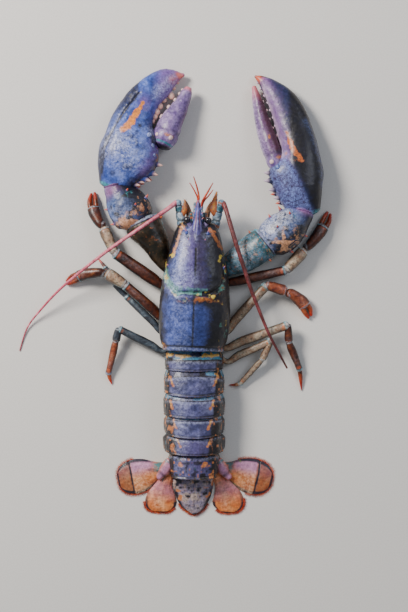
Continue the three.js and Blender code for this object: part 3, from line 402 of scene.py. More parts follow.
def growTufts(name, roots, ways, material, slotName, length, radius, seed, spreadOut=0.3):  # fine bristles
    mesh = bpy.data.meshes.new(name)
    mesh.from_pydata((np.array(roots) * mm).tolist(), [], [])
    mesh.attributes.new("way", "FLOAT_VECTOR", "POINT").data.foreach_set(
        "vector", np.array(ways, np.float32).ravel(),
    )
    tufts = bpy.data.objects.new(name, mesh)
    bpy.context.scene.collection.objects.link(tufts)
    tree = bpy.data.node_groups.new(name + "_bristles", "GeometryNodeTree")
    tree.interface.new_socket(name="Geometry", in_out="INPUT", socket_type="NodeSocketGeometry")
    for key in ("Length", "Radius"):
        tree.interface.new_socket(name=key, in_out="INPUT", socket_type="NodeSocketFloat")
    tree.interface.new_socket(name="Geometry", in_out="OUTPUT", socket_type="NodeSocketGeometry")
    given = addNode(tree, "NodeGroupInput", output=None).outputs
    way = addNode(
        tree, "GeometryNodeInputNamedAttribute", {"Name": "way"}, "Attribute", data_type="FLOAT_VECTOR",
    )
    limits = {"Min": (-spreadOut,) * 3, "Max": (spreadOut,) * 3, "Seed": seed}
    jitter = addNode(tree, "FunctionNodeRandomValue", limits, "Value", data_type="FLOAT_VECTOR")
    tilted = addNode(tree, "ShaderNodeVectorMath", (way, jitter), operation="ADD")
    turned = addNode(tree, "FunctionNodeAlignEulerToVector", {"Vector": tilted}, axis="Z")
    size = addNode(
        tree, "FunctionNodeRandomValue", {2: 0.65, 3: 1.15, "Seed": seed + 1}, 1, data_type="FLOAT",
    )
    cone = {
        "Vertices": 5, "Side Segments": 2, "Radius Top": 0.01 * mm, "Radius Bottom": given["Radius"],
        "Depth": given["Length"],
    }
    bristle = addNode(tree, "GeometryNodeMeshCone", cone, "Mesh")
    placed = {"Points": given["Geometry"], "Instance": bristle, "Rotation": turned, "Scale": size}
    placed = addNode(tree, "GeometryNodeInstanceOnPoints", placed)
    solid = addNode(tree, "GeometryNodeRealizeInstances", (placed,))
    painted = addNode(tree, "GeometryNodeSetMaterial", {"Geometry": solid, "Material": material})
    addNode(tree, "NodeGroupOutput", {"Geometry": painted}, None)
    grown = tufts.modifiers.new("bristles", "NODES")
    grown.node_group = tree
    for socket in tree.interface.items_tree:
        if socket.name in ("Length", "Radius"):
            grown[socket.identifier] = (length if socket.name == "Length" else radius) * mm
    bpy.context.view_layer.update()
    plain = bpy.data.meshes.new_from_object(tufts.evaluated_get(bpy.context.evaluated_depsgraph_get()))
    tufts.modifiers.clear()
    tufts.data = plain
    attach(tufts, "root")


# Materials, each named for what it is made of

carapaceChitin = shellMaterial("carapace_chitin", {
    "base": ("#1c2c60", "#33468e", "#4a5eb0", "#7688dc"), "stops": (0.3, 0.44, 0.54, 0.68), "patch": 16,
    "warm": "#a8622f", "gold": "#dcc04a", "peach": "#e09a62", "cool": "#5fa092", "violet": "#5a4a8c",
    "light": "#bcc6f2", "dark": "#171513", "specks": [(1.7, 0.6, 0.7, "#1c2450", 0.5)], "tip": "#d8807a",
})  # violet-blue shell, navy and olive-black at the sides
abdomenChitin = shellMaterial("abdomen_chitin", {
    "base": ("#2c2e58", "#474a7a", "#626394", "#868ab6"), "stops": (0.3, 0.45, 0.55, 0.68), "patch": 11,
    "blotch": 2.4, "warm": "#c87a44", "gold": "#e3b04c", "cool": "#3f88a8", "violet": "#5b4f84",
    "light": "#c3c9ea", "dark": "#1c1613", "specks": [(1.2, 0.58, 0.66, "#1c2040", 0.5)], "granule": 1,
    "pit": 1.2,
})  # slate violet with dark pores and orange flecks at the sides
telsonChitin = shellMaterial("telson_chitin", {
    "base": ("#6c6684", "#9488a2", "#b4a09c", "#d4bcb0"), "stops": (0.3, 0.45, 0.55, 0.68), "patch": 6,
    "warm": "#c87a48", "cool": "#2f7c98", "light": "#c9b8c0", "dark": "#151726",
    "specks": [(1.6, 0.56, 0.62, "#171a34", 0.85), (1.9, 0.6, 0.68, "#c98452", 0.7)], "granule": 1,
    "pit": 1.2,
})  # mottled lilac, navy and orange
fanChitin = shellMaterial("tail_fan_chitin", {
    "base": ("#bc561e", "#de7c3a", "#f4a468"), "stops": (0.3, 0.48, 0.66), "patch": 9, "warm": "#f0b890",
    "gold": "#7d8a48", "cool": "#2c7f86", "violet": "#c48cb4", "light": "#f8d0aa", "dark": "#10152c",
    "specks": [(1.5, 0.62, 0.7, "#7a3c22", 0.4)], "blotch": 2.2, "relief": 0.3, "poreStrength": 0.15,
    "pore": "#4a2418",
})  # orange-brown blades with a navy margin
leftClawChitin = shellMaterial("left_claw_chitin", {
    "base": ("#1a2e7a", "#304ca0", "#4e68c0", "#8094e0"), "stops": (0.3, 0.44, 0.56, 0.7), "patch": 13,
    "warm": "#a05a3c", "peach": "#f89420", "cool": "#3f9aa8", "violet": "#7c5ca8", "light": "#c8d0f6",
    "dark": "#10132e", "specks": [(1.6, 0.6, 0.68, "#1c2a66", 0.5)], "tip": "#ee7a58", "pale": "#f6c4ae",
})  # clear blue crusher claw
rightClawChitin = shellMaterial("right_claw_chitin", {
    "base": ("#0e1430", "#1c2750", "#2c2c58", "#46325c"), "patch": 14, "warm": "#c86a30", "gold": "#d89040",
    "cool": "#2f8a98", "violet": "#84609c", "light": "#86a0ec", "dark": "#100d14",
    "specks": [(1.7, 0.62, 0.7, "#5a3230", 0.45)], "tip": "#ee6a40", "pale": "#dcc4dc",
    "rough": (0.36, 0.5), "coat": 0.18,
})  # navy cutter claw, with a painted reflection along its outer side
dactylChitin = shellMaterial("dactyl_chitin", {
    "base": ("#56407c", "#7c62a0", "#9a80b8", "#bca6d2"),
    "patch": 8, "gold": "#d8843c", "cool": "#2f90a0", "violet": "#642c34", "light": "#dccbe6",
    "dark": "#1a1028", "specks": [(1.6, 0.6, 0.68, "#3a2a58", 0.6)], "tip": "#e88088", "pale": "#f2cfc8",
})  # lilac moving fingers
darkArmChitin = shellMaterial("dark_arm_chitin", {
    "base": ("#0c100c", "#1e1a0e", "#33240f", "#4a3820"), "patch": 8, "warm": "#b8622a", "gold": "#8a7a3a",
    "cool": "#1f8f98", "violet": "#7c5ca8", "light": "#c4e4ec", "dark": "#080a0c",
    "specks": [(1.8, 0.64, 0.7, "#b5713f", 0.5)], "tip": "#e8703a",
})  # brown-black arm with teal edges
armChitin = shellMaterial("arm_chitin", {
    "base": ("#14383e", "#1f565e", "#3a7690", "#7fa4c0"), "patch": 8, "warm": "#c07a44", "gold": "#c8b070",
    "cool": "#34b4cc", "violet": "#9c84c8", "light": "#d4dcf2", "dark": "#0d1518",
    "specks": [(1.9, 0.57, 0.64, "#b5713f", 0.7), (1.5, 0.6, 0.66, "#0e1a20", 0.7)], "tip": "#ee7a44",
})  # teal arm with orange freckles
carpusChitin = shellMaterial("carpus_chitin", {
    "base": ("#1c2c58", "#35508e", "#5470b0", "#8c9cd4"), "patch": 9, "warm": "#d69468", "gold": "#e0a860",
    "cool": "#34a8b4", "violet": "#93629c", "light": "#e2e6fa", "dark": "#120f18",
    "specks": [(1.5, 0.6, 0.66, "#141830", 0.75)], "tip": "#ee6c38", "blotch": 2.2, "peach": "#e2a274",
})  # blue with peach mottling and a purple knob
legGrain = {"granule": 1, "pit": 1.1}  # mm, finer than on the body
brownLegChitin = shellMaterial("brown_leg_chitin", {
    **legGrain, "base": ("#200b03", "#481a04", "#682c0c", "#864c1c"),
    "patch": 6, "warm": "#b04a20", "cool": "#2f7f8c", "light": "#cdd8e4",
    "dark": "#141018", "specks": [(1.3, 0.6, 0.66, "#1a1418", 0.6)], "tip": "#a82618",
})  # dark brown with teal edges
paleLegChitin = shellMaterial("pale_leg_chitin", {
    **legGrain, "base": ("#8a6a50", "#a88a70", "#b8a488", "#d0c4b4"), "patch": 6, "warm": "#c8703a",
    "cool": "#4c98a4", "light": "#e6eef6", "dark": "#241c1c",
    "specks": [(1.5, 0.58, 0.63, "#2a2430", 0.75), (1.8, 0.6, 0.66, "#b8622e", 0.6)], "tip": "#b02818",
})  # beige with dark spots and teal and orange edges
rustLegChitin = shellMaterial("rust_leg_chitin", {
    **legGrain, "base": ("#6a2c18", "#94482a", "#a85c3a", "#c08060"),
    "patch": 5, "warm": "#d0602c", "cool": "#4c6a8c", "light": "#c8ccdc",
    "dark": "#2a1614", "specks": [(1.4, 0.58, 0.64, "#3a3048", 0.6)], "tip": "#d02a18",
})  # orange-brown pincers
navyLegChitin = shellMaterial("navy_leg_chitin", {
    **legGrain, "base": ("#1c2028", "#343c48", "#4a5866", "#7c8a94"),
    "patch": 6, "warm": "#8a4a2c", "cool": "#3f8c9c", "light": "#c4d4dc",
    "dark": "#0e1014", "specks": [(1.4, 0.6, 0.66, "#7a5a3c", 0.5)], "tip": "#c82c18",
})  # grey-navy legs
feelerGrain = {"relief": 0.2, "poreStrength": 0.1}
pinkFeelerChitin = shellMaterial("pink_feeler_chitin", {
    "base": ("#c23a58", "#de5c78", "#f08ca0"), "patch": 9, "warm": "#7c2c38", "light": "#f6e2e6",
    **feelerGrain, "pore": "#5c1c28",
})  # crimson and pink feeler
darkFeelerChitin = shellMaterial("dark_feeler_chitin", {
    "base": ("#4a1f20", "#6e3030", "#94484c"), "patch": 7, "warm": "#3a1614", "light": "#b07a80",
    **feelerGrain, "pore": "#2a0e0e",
})  # maroon feeler
redFeelerChitin = shellMaterial("red_feeler_chitin", {
    "base": ("#a02a14", "#cc3c1c", "#e86838"), "patch": 5, "warm": "#8c2414",
    **feelerGrain, "pore": "#5c1c10",
})  # orange-red antennules
antennaChitin = shellMaterial("antenna_base_chitin", {
    "base": ("#3a5c78", "#7c9cb4", "#c8d8e4"), "patch": 4, "warm": "#b8601f", "gold": "#d8a040",
    "cool": "#1f5c6a", "light": "#eef2f6", "dark": "#1a1412", "blotch": 1.8,
    "specks": [(1.3, 0.6, 0.66, "#8a4a2c", 0.6)], "tip": "#e8dcc8",
})  # white-blue and teal stems with orange scales
eyeCornea = shellMaterial("eye_cornea", {
    "base": ("#050409", "#120c1e"), "patch": 3, "grain": 0.5, "rough": (0.05, 0.1), "coat": 1,
    "relief": 0.04, "poreStrength": 0,
})  # wet black eye
stalkChitin = shellMaterial("eye_stalk_chitin", {
    "base": ("#6a5a8c", "#a89ac8"), "patch": 2, "poreStrength": 0.2,
})  # lilac stalk
bellyChitin = shellMaterial("belly_chitin", {
    "base": ("#6a4030", "#9a6a50", "#c4a082"), "patch": 8, "specks": [(1.8, 0.6, 0.68, "#3c3440", 0.5)],
})  # pale brown underside
bristleGrain = {"patch": 5, "relief": 0.1, "poreStrength": 0, "coat": 0.1}
redBristle = shellMaterial("red_bristle", {
    "base": ("#8c2408", "#c8400f", "#e86a20"), **bristleGrain,
})  # red-orange setae
brownBristle = shellMaterial("brown_bristle", {
    "base": ("#4a2c18", "#7c5230", "#a88058"), **bristleGrain,
})  # brown setae
print("materials made")


# Carapace

carapaceTurn, carapaceRear, carapaceRearX = math.radians(-2.1), -37.5, -0.6


def onCarapace(p):  # from distances along the back to the shared frame
    p = np.asarray(p, float)
    c, s = math.cos(carapaceTurn), math.sin(carapaceTurn)
    x = p[..., 0] * c - p[..., 1] * s + carapaceRearX
    y = p[..., 0] * s + p[..., 1] * c + carapaceRear
    return np.stack([x, y, p[..., 2]], -1)


def headRows(rows, way=1):  # stations of a loft, given as x, distance, height, half width and half height
    return [[*onCarapace([way * x, d, z]), w, h] for x, d, z, w, h in rows]


carapaceRows = [  # distance from the rear, half width, height of the back and of the lower edge
    [0, 21.6, 33, 11], [4.5, 23.6, 36.5, 9], [14, 25.7, 39.5, 7.5], [27, 26.3, 41.5, 7.5],
    [41, 25.6, 42.5, 7.5], [46, 25.1, 42.5, 7.5], [58, 23.5, 42, 8.5], [69, 21, 40.5, 11],
    [79, 18.5, 37.5, 14], [87, 16.3, 34.5, 17], [92, 13.8, 31.5, 20],
]
neckGroove = [
    (-24, 34), (-23, 27), (-21.1, 20.8), (-18.3, 12.3), (-12, 5), (0.5, 4.5), (11.9, 4), (20.2, 9.3),
    (23.4, 19.7), (25, 27), (25.6, 33),
]
cheekStripes = {
    "left": [(-8.5, 53.2), (-11.8, 43), (-14.7, 33.3)], "right": [(11.9, 52.1), (16, 45), (20.2, 37.5)],
}


def carapacePart(steps=230, sides=240):
    t = np.linspace(0, 1, steps + 1)
    row = between(carapaceRows, t)
    capTurn = np.linspace(0.12, 0.97, 9) * math.pi / 2
    rear = np.repeat(row[:1], 5, 0)
    rear[:, 0] += np.array([5, 3.4, 1.6, 0.4, 0])
    rearScale = np.array([0.7, 0.82, 0.9, 0.94, 0.97])
    front = np.repeat(row[-1:], len(capTurn), 0)
    front[:, 0] += 3.4 * np.sin(capTurn)
    d, hw, top, low = np.concatenate([rear, row, front]).T[:, :, None]
    scale = np.concatenate([rearScale, np.ones(len(row)), np.cos(capTurn)])[:, None]
    a = (np.arange(sides) + 0.5) / sides * 2 * math.pi
    degrees = np.degrees(a)[None]
    upper = degrees < 180
    widest = lerp(low, top, 0.36)
    cos, sin = np.cos(a)[None], np.sin(a)[None]
    x = np.where(upper, np.sign(cos) * np.abs(cos) ** 0.86, np.sign(cos) * np.abs(cos) ** 0.5) * hw
    z = np.where(upper, np.abs(sin) ** 0.9 * (top - widest), -(np.abs(sin) ** 0.85) * (widest - low))
    middle = lerp(low, top, 0.5)
    z = middle + (widest + z - middle) * scale
    grid = onCarapace(np.stack([x * scale, np.broadcast_to(d, x.shape), z], -1))
    fromTop = np.abs(90 - degrees) / 90 + 0 * d
    px, py = grid[..., 0], grid[..., 1]
    above = fromTop < 0.97
    groove = streak(grid, neckGroove, 1.5) * above
    behind = streak(grid, [(a, b - 3) for a, b in neckGroove], 2.2) * above
    ahead = streak(grid, [(a, b + 3.4) for a, b in neckGroove], 2.2) * above
    rim = bump(d, 0.9, 0.9) - 0.9 * bump(d, 2.9, 0.8)
    midline = streak(grid, [(1.5, 37.1), (0.95, 5), (0, -6.4), (-1.1, -33.3)], 0.55) * upper
    branchLine = 6.5 + 0.0042 * (d - 20) ** 2
    branch = bump(np.abs(x), branchLine, 1.1) * ease(6, 12, d) * (1 - ease(33, 40, d)) * upper
    swell = bump(d, 55, 10) * bump(np.abs(x), 12, 6) * upper
    dimple = streak(grid, [(-4.9, 50), (-4.4, 45.6)], 0.9) * upper
    brow = (spot(grid, -5.6, 57.5, 3) + spot(grid, 10, 57, 3)) * upper
    lumps = lumpy(grid, (11, 3, 0.3), (4.2, 4, 0.16))
    grain = grainy(grid, 1.5, 5, 0.2) * upper
    lift = -1.7 * groove + 0.5 * behind + 0.35 * ahead + 0.6 * rim
    lift = lift - 0.34 * midline - 0.3 * branch + 0.7 * swell
    keel = streak(grid, [(2.6, 60), (1.7, 42)], 1) * ease(36, 50, py) * upper
    lift = lift - 0.6 * dimple + 0.5 * brow + 0.5 * keel + lumps + grain
    grid = grid + gridNormals(grid) * (lift * np.minimum(1, scale**0.5) * (scale > 0.6))[..., None]
    orbit = np.exp(-(((np.abs(x) - 8.4) / 3.6) ** 2) - (((z - 29.5) / 4.5) ** 2))
    grid[..., 1] -= orbit * ease(84, 93, d) * 5
    left = 1 - ease(-3, 4, px)
    frontHalf = ease(4, 10, py)
    patchy, flecks = valueNoise(grid, 6.5, 41), valueNoise(grid, 2.4, 42)
    band = ease(-17, -11, px) * (1 - ease(20, 24, px)) * bump(py, -1.2, 3.2)
    # a painted highlight on the left of the back, broad on the front half and fainter behind the neck groove
    paintedHighlight = 0.75 * bump(fromTop, 0.33, 0.18) * frontHalf
    paintedHighlight = left * (paintedHighlight + 0.3 * bump(fromTop, 0.25, 0.25) * (1 - frontHalf))
    # farSide darkens the lower flanks, which are olive-black; it begins a little higher on the right as
    # painted shade
    farSide = ease(0.3, 0.7, fromTop + 0.16 * patchy + 0.06 * (px > 0) - 0.06 * left)
    marks = {
        # dark: the (1 - left) terms lay painted shade over the right half of the back
        "dark": 0.9 * farSide + 0.8 * midline + 0.42 * (1 - left) * frontHalf * ease(0.1, 0.45, fromTop)
            + 0.3 * (1 - left) * frontHalf + 0.6 * (1 - left) * (1 - frontHalf) * ease(0.06, 0.4, fromTop)
            # painted shade in the neck groove, in the dimple and in the dip in front of the rear rim
            + 0.8 * groove + 0.9 * dimple + 0.5 * band + 0.7 * bump(d, 3.1, 0.9)
            + 0.6 * bump(d, 86, 4) * bump(fromTop, 0.35, 0.2) + 0.25 * (1 - left),
        "violet": 0.7 * frontHalf * bump(fromTop, 0.06, 0.2) + 0.4 * behind * left
            + 0.6 * bump(d, 84, 9) * (fromTop < 0.5),
        # light: paintedHighlight and the spot at 9.6, 47.2 are painted highlights; the rest are pale marks of
        # the shell
        "light": paintedHighlight + 0.6 * bump(d, 1.2, 0.9) + 0.7 * keel + 0.5 * spot(grid, 9.6, 47.2, 3)
            + 0.5 * spot(grid, -3, 16, 6)
            + 0.5 * streak(grid, [(-21.6, 18), (-18.9, 9.5), (-13, 2.5)], 2.4),
        "cool": 0.62 * ahead * (px < 10) * (fromTop < 0.85) + 0.75 * groove * (px < 6)
            + 0.5 * farSide * ease(0, 0.6, patchy)
            + 0.6 * streak(grid, [(-21.6, 18), (-18.9, 9.5), (-13, 2.5), (-6, -0.5)], 2)
            + 0.5 * streak(grid, [(17, 5), (22.4, 14), (23, 20)], 2),
        "warm": 0.5 * band + 0.9 * streak(grid, cheekStripes["right"], 1.7)
            + 0.4 * farSide * ease(0, 0.5, flecks) + 0.4 * bump(d, 3, 3) * ease(0.4, 0.7, fromTop)
            + 0.4 * behind * (1 - left),
        "gold": spot(grid, 14, 2, 1.9) + streak(grid, [(18.6, 28.5), (19.8, 31.8)], 1.2)
            + 0.9 * spot(grid, -14.9, 32.4, 1.8) + 0.7 * spot(grid, -10, 58, 2.4)
            + 0.7 * spot(grid, 13.4, 57.4, 2.4)
            + 0.6 * streak(grid, [(-22, 19), (-19.4, 10), (-13.5, 2.5)], 1) + 0.6 * spot(grid, 8, 5.4, 1.5)
            + 0.5 * farSide * ease(0.3, 0.6, flecks)
            + 0.45 * streak(grid, neckGroove, 4) * ease(0.2, 0.6, flecks)
            + 0.5 * band * ease(0.2, 0.5, flecks),
        "peach": 0.85 * streak(grid, cheekStripes["left"], 1.7)
            + 0.4 * streak(grid, cheekStripes["right"], 2.2) + 0.5 * spot(grid, -9, 56, 4),
    }
    marks = {key: np.clip(v, 0, 1) * upper for key, v in marks.items()}
    # painted shade over the whole underside
    marks["dark"] = np.maximum(marks["dark"], 0.8 * (1 - upper) + 0 * d)
    return partOf(grid, grid[0].mean(0), grid[-1].mean(0), **marks)


rostrumRows = headRows([
    (0, 74, 33, 5.6, 3.2), (0, 84, 32.5, 4.4, 3.1), (0, 92, 31.4, 3.4, 2.8), (0, 97, 31.4, 2.6, 2.1),
    (0, 103, 32, 2, 1.5), (0, 109.5, 33.5, 0.5, 0.6),
])


def rostrumForm(t, degrees, grid):
    edges = facing(degrees, 0, 18) + facing(degrees, 180, 18)
    lift = 0.55 * facing(degrees, 90, 14) + 0.4 * edges
    lift = lift - 0.45 * facing(degrees, 52, 16) - 0.45 * facing(degrees, 128, 16)
    return lift * ease(0.05, 0.35, t)


def rostrumMarks(t, degrees, grid):
    flanks = facing(degrees, 60, 13) + facing(degrees, 120, 13)
    return {
        # the dark term is painted shade on the right flank
        "light": 0.6 * facing(degrees, 90, 13) * ease(0.25, 0.6, t), "dark": 0.5 * facing(degrees, 20, 30),
        "tip": 0.6 * flanks * ease(0.3, 0.6, t) + 0.6 * ease(0.92, 1, t),
        "violet": 0.6 * (1 - ease(0.3, 0.7, t)),
        "warm": 0.7 * (facing(degrees, 0, 25) + facing(degrees, 180, 25)) * ease(0.3, 0.6, t),
    }


rostrum = loft(rostrumRows, 48, 80, endCap=0.7, startCap=3, form=rostrumForm, marks=rostrumMarks)
carapaceParts = [carapacePart(), rostrum]
for side in (0, 180):
    for t, length in ((0.56, 2.3), (0.7, 2.3), (0.84, 1.8)):
        carapaceParts.append(spike(surfaceAt(rostrumRows, t, side), length, 0.95, (0, 0.9, 0.35)))
for way in (-1, 1):
    for point, normal, length, radius in (
        ((way * 8, 87, 33.5), (way * 0.25, 1, 0.5), 2.8, 1.2),
        ((way * 12.2, 90.5, 26), (way * 0.4, 1, 0.1), 2.6, 1.2),
        ((way * 20.3, 62, 32), (way, 0.9, 0.4), 1.8, 1.1),
        ((way * 6, 81, 36), (way * 0.2, 1, 0.6), 1.6, 0.9),
    ):
        carapaceParts.append(spike((onCarapace(point), normal), length, radius))
makePiece("carapace", carapaceParts, carapaceChitin)
print("carapace made")


# Eyes, antennules and antennae

for name, way in (("left", -1), ("right", 1)):
    stalk = loft(headRows([(4.4, 91, 27, 1.7, 1.7), (7, 94.6, 28.6, 2, 2)], way), 24, 12)
    ballRows = headRows([(7.2, 95, 28.8, 2.45, 2.45), (7.9, 96.2, 29.2, 2.55, 2.55)], way)
    ball = loft(ballRows, 36, 8, startCap=1.8, endCap=2.1, capRings=12)
    eye = makePiece(f"eye_{name}", [ball, stalk], eyeCornea)
    paintFaces(eye, stalkChitin, range(len(ball["faces"]), len(eye.data.polygons)))

antennuleEnds = {
    "left": (
        ([3.7, 73.8, 29, 0.8], [2.7, 80.9, 32, 0.65], [0, 89.6, 35, 0.35]),
        ([3, 73.6, 27, 0.7], [0.6, 79.7, 28.5, 0.55], [-2.9, 85.5, 29, 0.35]),
    ),
    "right": (
        ([6.8, 72.9, 29, 0.85], [10.3, 78.9, 31, 0.7], [14, 85.2, 33, 0.35]),
        ([7.5, 72.5, 27, 0.7], [10.7, 76.1, 27.5, 0.55], [14.1, 80.5, 28, 0.35]),
    ),
}
feelerRings = 30  # on an antennule's feelers, coarser than the real ones, which are too fine to show


def ringedForm(count, depth):  # fine rings along a feeler
    return lambda t, degrees, grid: depth * np.cos(t * count * 2 * math.pi)


def jointedForm(joints, depth):  # swollen segments with a crease between them
    def form(t, degrees, grid):
        return -depth * sum(bump(t, joint, 0.03) for joint in joints) + valueNoise(grid, 2.2, 9) * 0.12

    return form


def antennuleStemMarks(t, degrees, grid):
    return {
        "cool": 0.9 * (bump(t, 0.34, 0.05) + bump(t, 0.68, 0.05)),
        "light": 0.5 * facing(degrees, 90, 40) * (1 - ease(0.6, 0.9, t)),
    }


def mouthLobeMarks(t, degrees, grid):
    teal, orange = valueNoise(grid, 1.6, 71), valueNoise(grid, 1.3, 72)
    return {"cool": 0.8 * ease(-0.2, 0.2, teal), "warm": 0.9 * ease(0, 0.3, orange), "dark": 0.6}


def ringMarks(t, degrees, grid):
    return {"warm": 0.6 * (np.cos(t * feelerRings * 2 * math.pi) > 0.3)}


mouthRoots, mouthWays = [], []
for name, way in (("left", -1), ("right", 1)):
    stemRows = headRows(
        [(2.3, 92, 23.6, 1.8, 1.8), (2.3, 101, 24.6, 1.6, 1.6), (2.3, 108, 27, 1.3, 1.3)], way,
    )
    stem = loft(stemRows, 24, 60, endCap=1, form=jointedForm((0.34, 0.68), 0.35), marks=antennuleStemMarks)
    lobeRows = headRows([(4.6, 89, 20, 2.6, 2.4), (5.2, 95, 21, 2.8, 2.4), (4.8, 101, 22.4, 1.8, 1.6)], way)
    lobe = loft(lobeRows, 28, 40, endCap=1.2, form=jointedForm((0.5,), 0.4), marks=mouthLobeMarks)
    parts = [stem, lobe]
    for t in np.linspace(0.3, 1, 12):
        for degrees in (60, 90, 120):
            point, normal = surfaceAt(lobeRows, t, degrees)
            mouthRoots.append(point - normal * 0.2)
            mouthWays.append([0.35 * way + 0.3 * normal[0], 1, 0.25])
    for path in antennuleEnds[name]:
        rows = [[*onCarapace([way * 2.3, 106, 26.6]), 1, 1]] + [[x, y, z, w, w] for x, y, z, w in path]
        parts.append(loft(rows, 12, 110, endCap=0.3, form=ringedForm(feelerRings, 0.06), marks=ringMarks))
    antennule = makePiece(f"antennule_{name}", parts, redFeelerChitin)
    paintFaces(antennule, antennaChitin, range(len(stem["faces"]) + len(lobe["faces"])))

antennae = {  # stations: x, y, z, half width, half height
    "left": {
        "stem": [[-8.6, 53.5, 18, 3.4, 3.8], [-10, 63, 19.5, 3.4, 3.6], [-11.6, 71.6, 22, 2.6, 2.7]],
        "scale": [[-10, 61.5, 20.4, 2, 1.6], [-7, 66, 22.4, 2.3, 1], [-6.6, 73.6, 23.4, 0.5, 0.5]],
        "whip": [
            [-13, 71.6, 22.5, 1.9, 1.9], [-22.5, 64.1, 28, 1.5, 1.5], [-39.2, 52.4, 32, 1.4, 1.4],
            [-66.5, 33.7, 25, 1.25, 1.25], [-96.1, 10.8, 14, 1, 1], [-114.1, -7.1, 6, 0.8, 0.8],
            [-124.8, -20.8, 1.6, 0.6, 0.6], [-130.6, -37.9, 0.5, 0.45, 0.45],
        ],
        "chitin": pinkFeelerChitin,
    },
    "right": {
        "stem": [[15.4, 53.5, 18, 3.4, 3.8], [17.6, 63, 19.5, 3.4, 3.6], [20.4, 71.6, 22, 2.6, 2.7]],
        "scale": [[17.4, 61.5, 20.4, 2, 1.6], [14.6, 67.5, 22.6, 2.9, 1], [16.8, 79.4, 24, 0.5, 0.5]],
        "whip": [
            [21.9, 71, 22.5, 1.9, 1.9], [23.8, 65.5, 28, 1.75, 1.75], [30.9, 41.1, 31, 1.65, 1.65],
            [37.1, 22.6, 27.5, 1.5, 1.5], [42.8, 5.9, 23, 1.4, 1.4], [54, -21.7, 17, 1.15, 1.15],
            [60.9, -35.3, 13.5, 0.95, 0.95], [69.3, -50.7, 9, 0.7, 0.7],
        ],
        "chitin": darkFeelerChitin,
    },
}
for name, feeler in antennae.items():
    way = -1 if name == "left" else 1
    stem = loft(
        feeler["stem"], 36, 80, startCap=2, endCap=2.4, form=jointedForm((0.3, 0.62, 0.86), 0.55),
        marks=lambda t, degrees, grid: {
            "light": 0.85 * bump(t, 0.46, 0.13) * facing(degrees, 90, 60) * (1 if way < 0 else 0.5),
            "cool": bump(t, 0.74, 0.12) + 0.6 * bump(t, 0.3, 0.05),
            "warm": 0.9 * bump(t, 0.08, 0.12) + 0.8 * bump(t, 0.98, 0.08) * (1 if way > 0 else 0.3),
            "dark": 0.7 * (bump(t, 0.3, 0.025) + bump(t, 0.62, 0.025) + bump(t, 0.86, 0.025)),
        },
    )
    scale = loft(feeler["scale"], 28, 40, startCap=1, endCap=0.4, marks=lambda t, degrees, grid: {
        "warm": 0.9, "gold": 0.7 * facing(degrees, 90, 30) * ease(0.2, 0.5, t),
    })
    parts = [stem, scale]
    for t in (0.3, 0.45, 0.6, 0.75, 0.88):  # toothed outer edge of the scale
        parts.append(spike(
            surfaceAt(feeler["scale"], t, 180 if way < 0 else 0), 0.9, 0.55, (0, 0.8, 0.1), sides=8,
            rings=6,
        ))
    makePiece(f"antenna_{name}_base", parts, antennaChitin)
    for t in np.linspace(0.2, 0.95, 16):
        for degrees in (0, 20, 180, 160):
            point, normal = surfaceAt(feeler["scale"], t, degrees)
            mouthRoots.append(point - normal * 0.2)
            mouthWays.append([normal[0] * 0.8, 1, 0.2])
    whip = loft(
        feeler["whip"], 12, 620, startCap=1.2, endCap=0.4, form=ringedForm(150, 0.06),
        marks=lambda t, degrees, grid: {
            # light: a painted highlight along the top of the whip's base, weaker on the right antenna
            "light": (0.45 * (1 - ease(0.3, 0.75, t)) * facing(degrees, 90, 50)) * (1 if way < 0 else 0.35),
            "warm": (0.15 + 0.6 * ease(0.4, 0.9, t)) * (0.8 if way < 0 else 0.6),
        },
    )
    makePiece(f"antenna_{name}_flagellum", [whip], feeler["chitin"])
mouthTuft = {"length": 2.2, "radius": 0.06, "seed": 19, "spreadOut": 0.35}
growTufts("mouth_bristles", mouthRoots, mouthWays, brownBristle, "antenna_shell", **mouthTuft)
print("head made")


# Claws and their arms

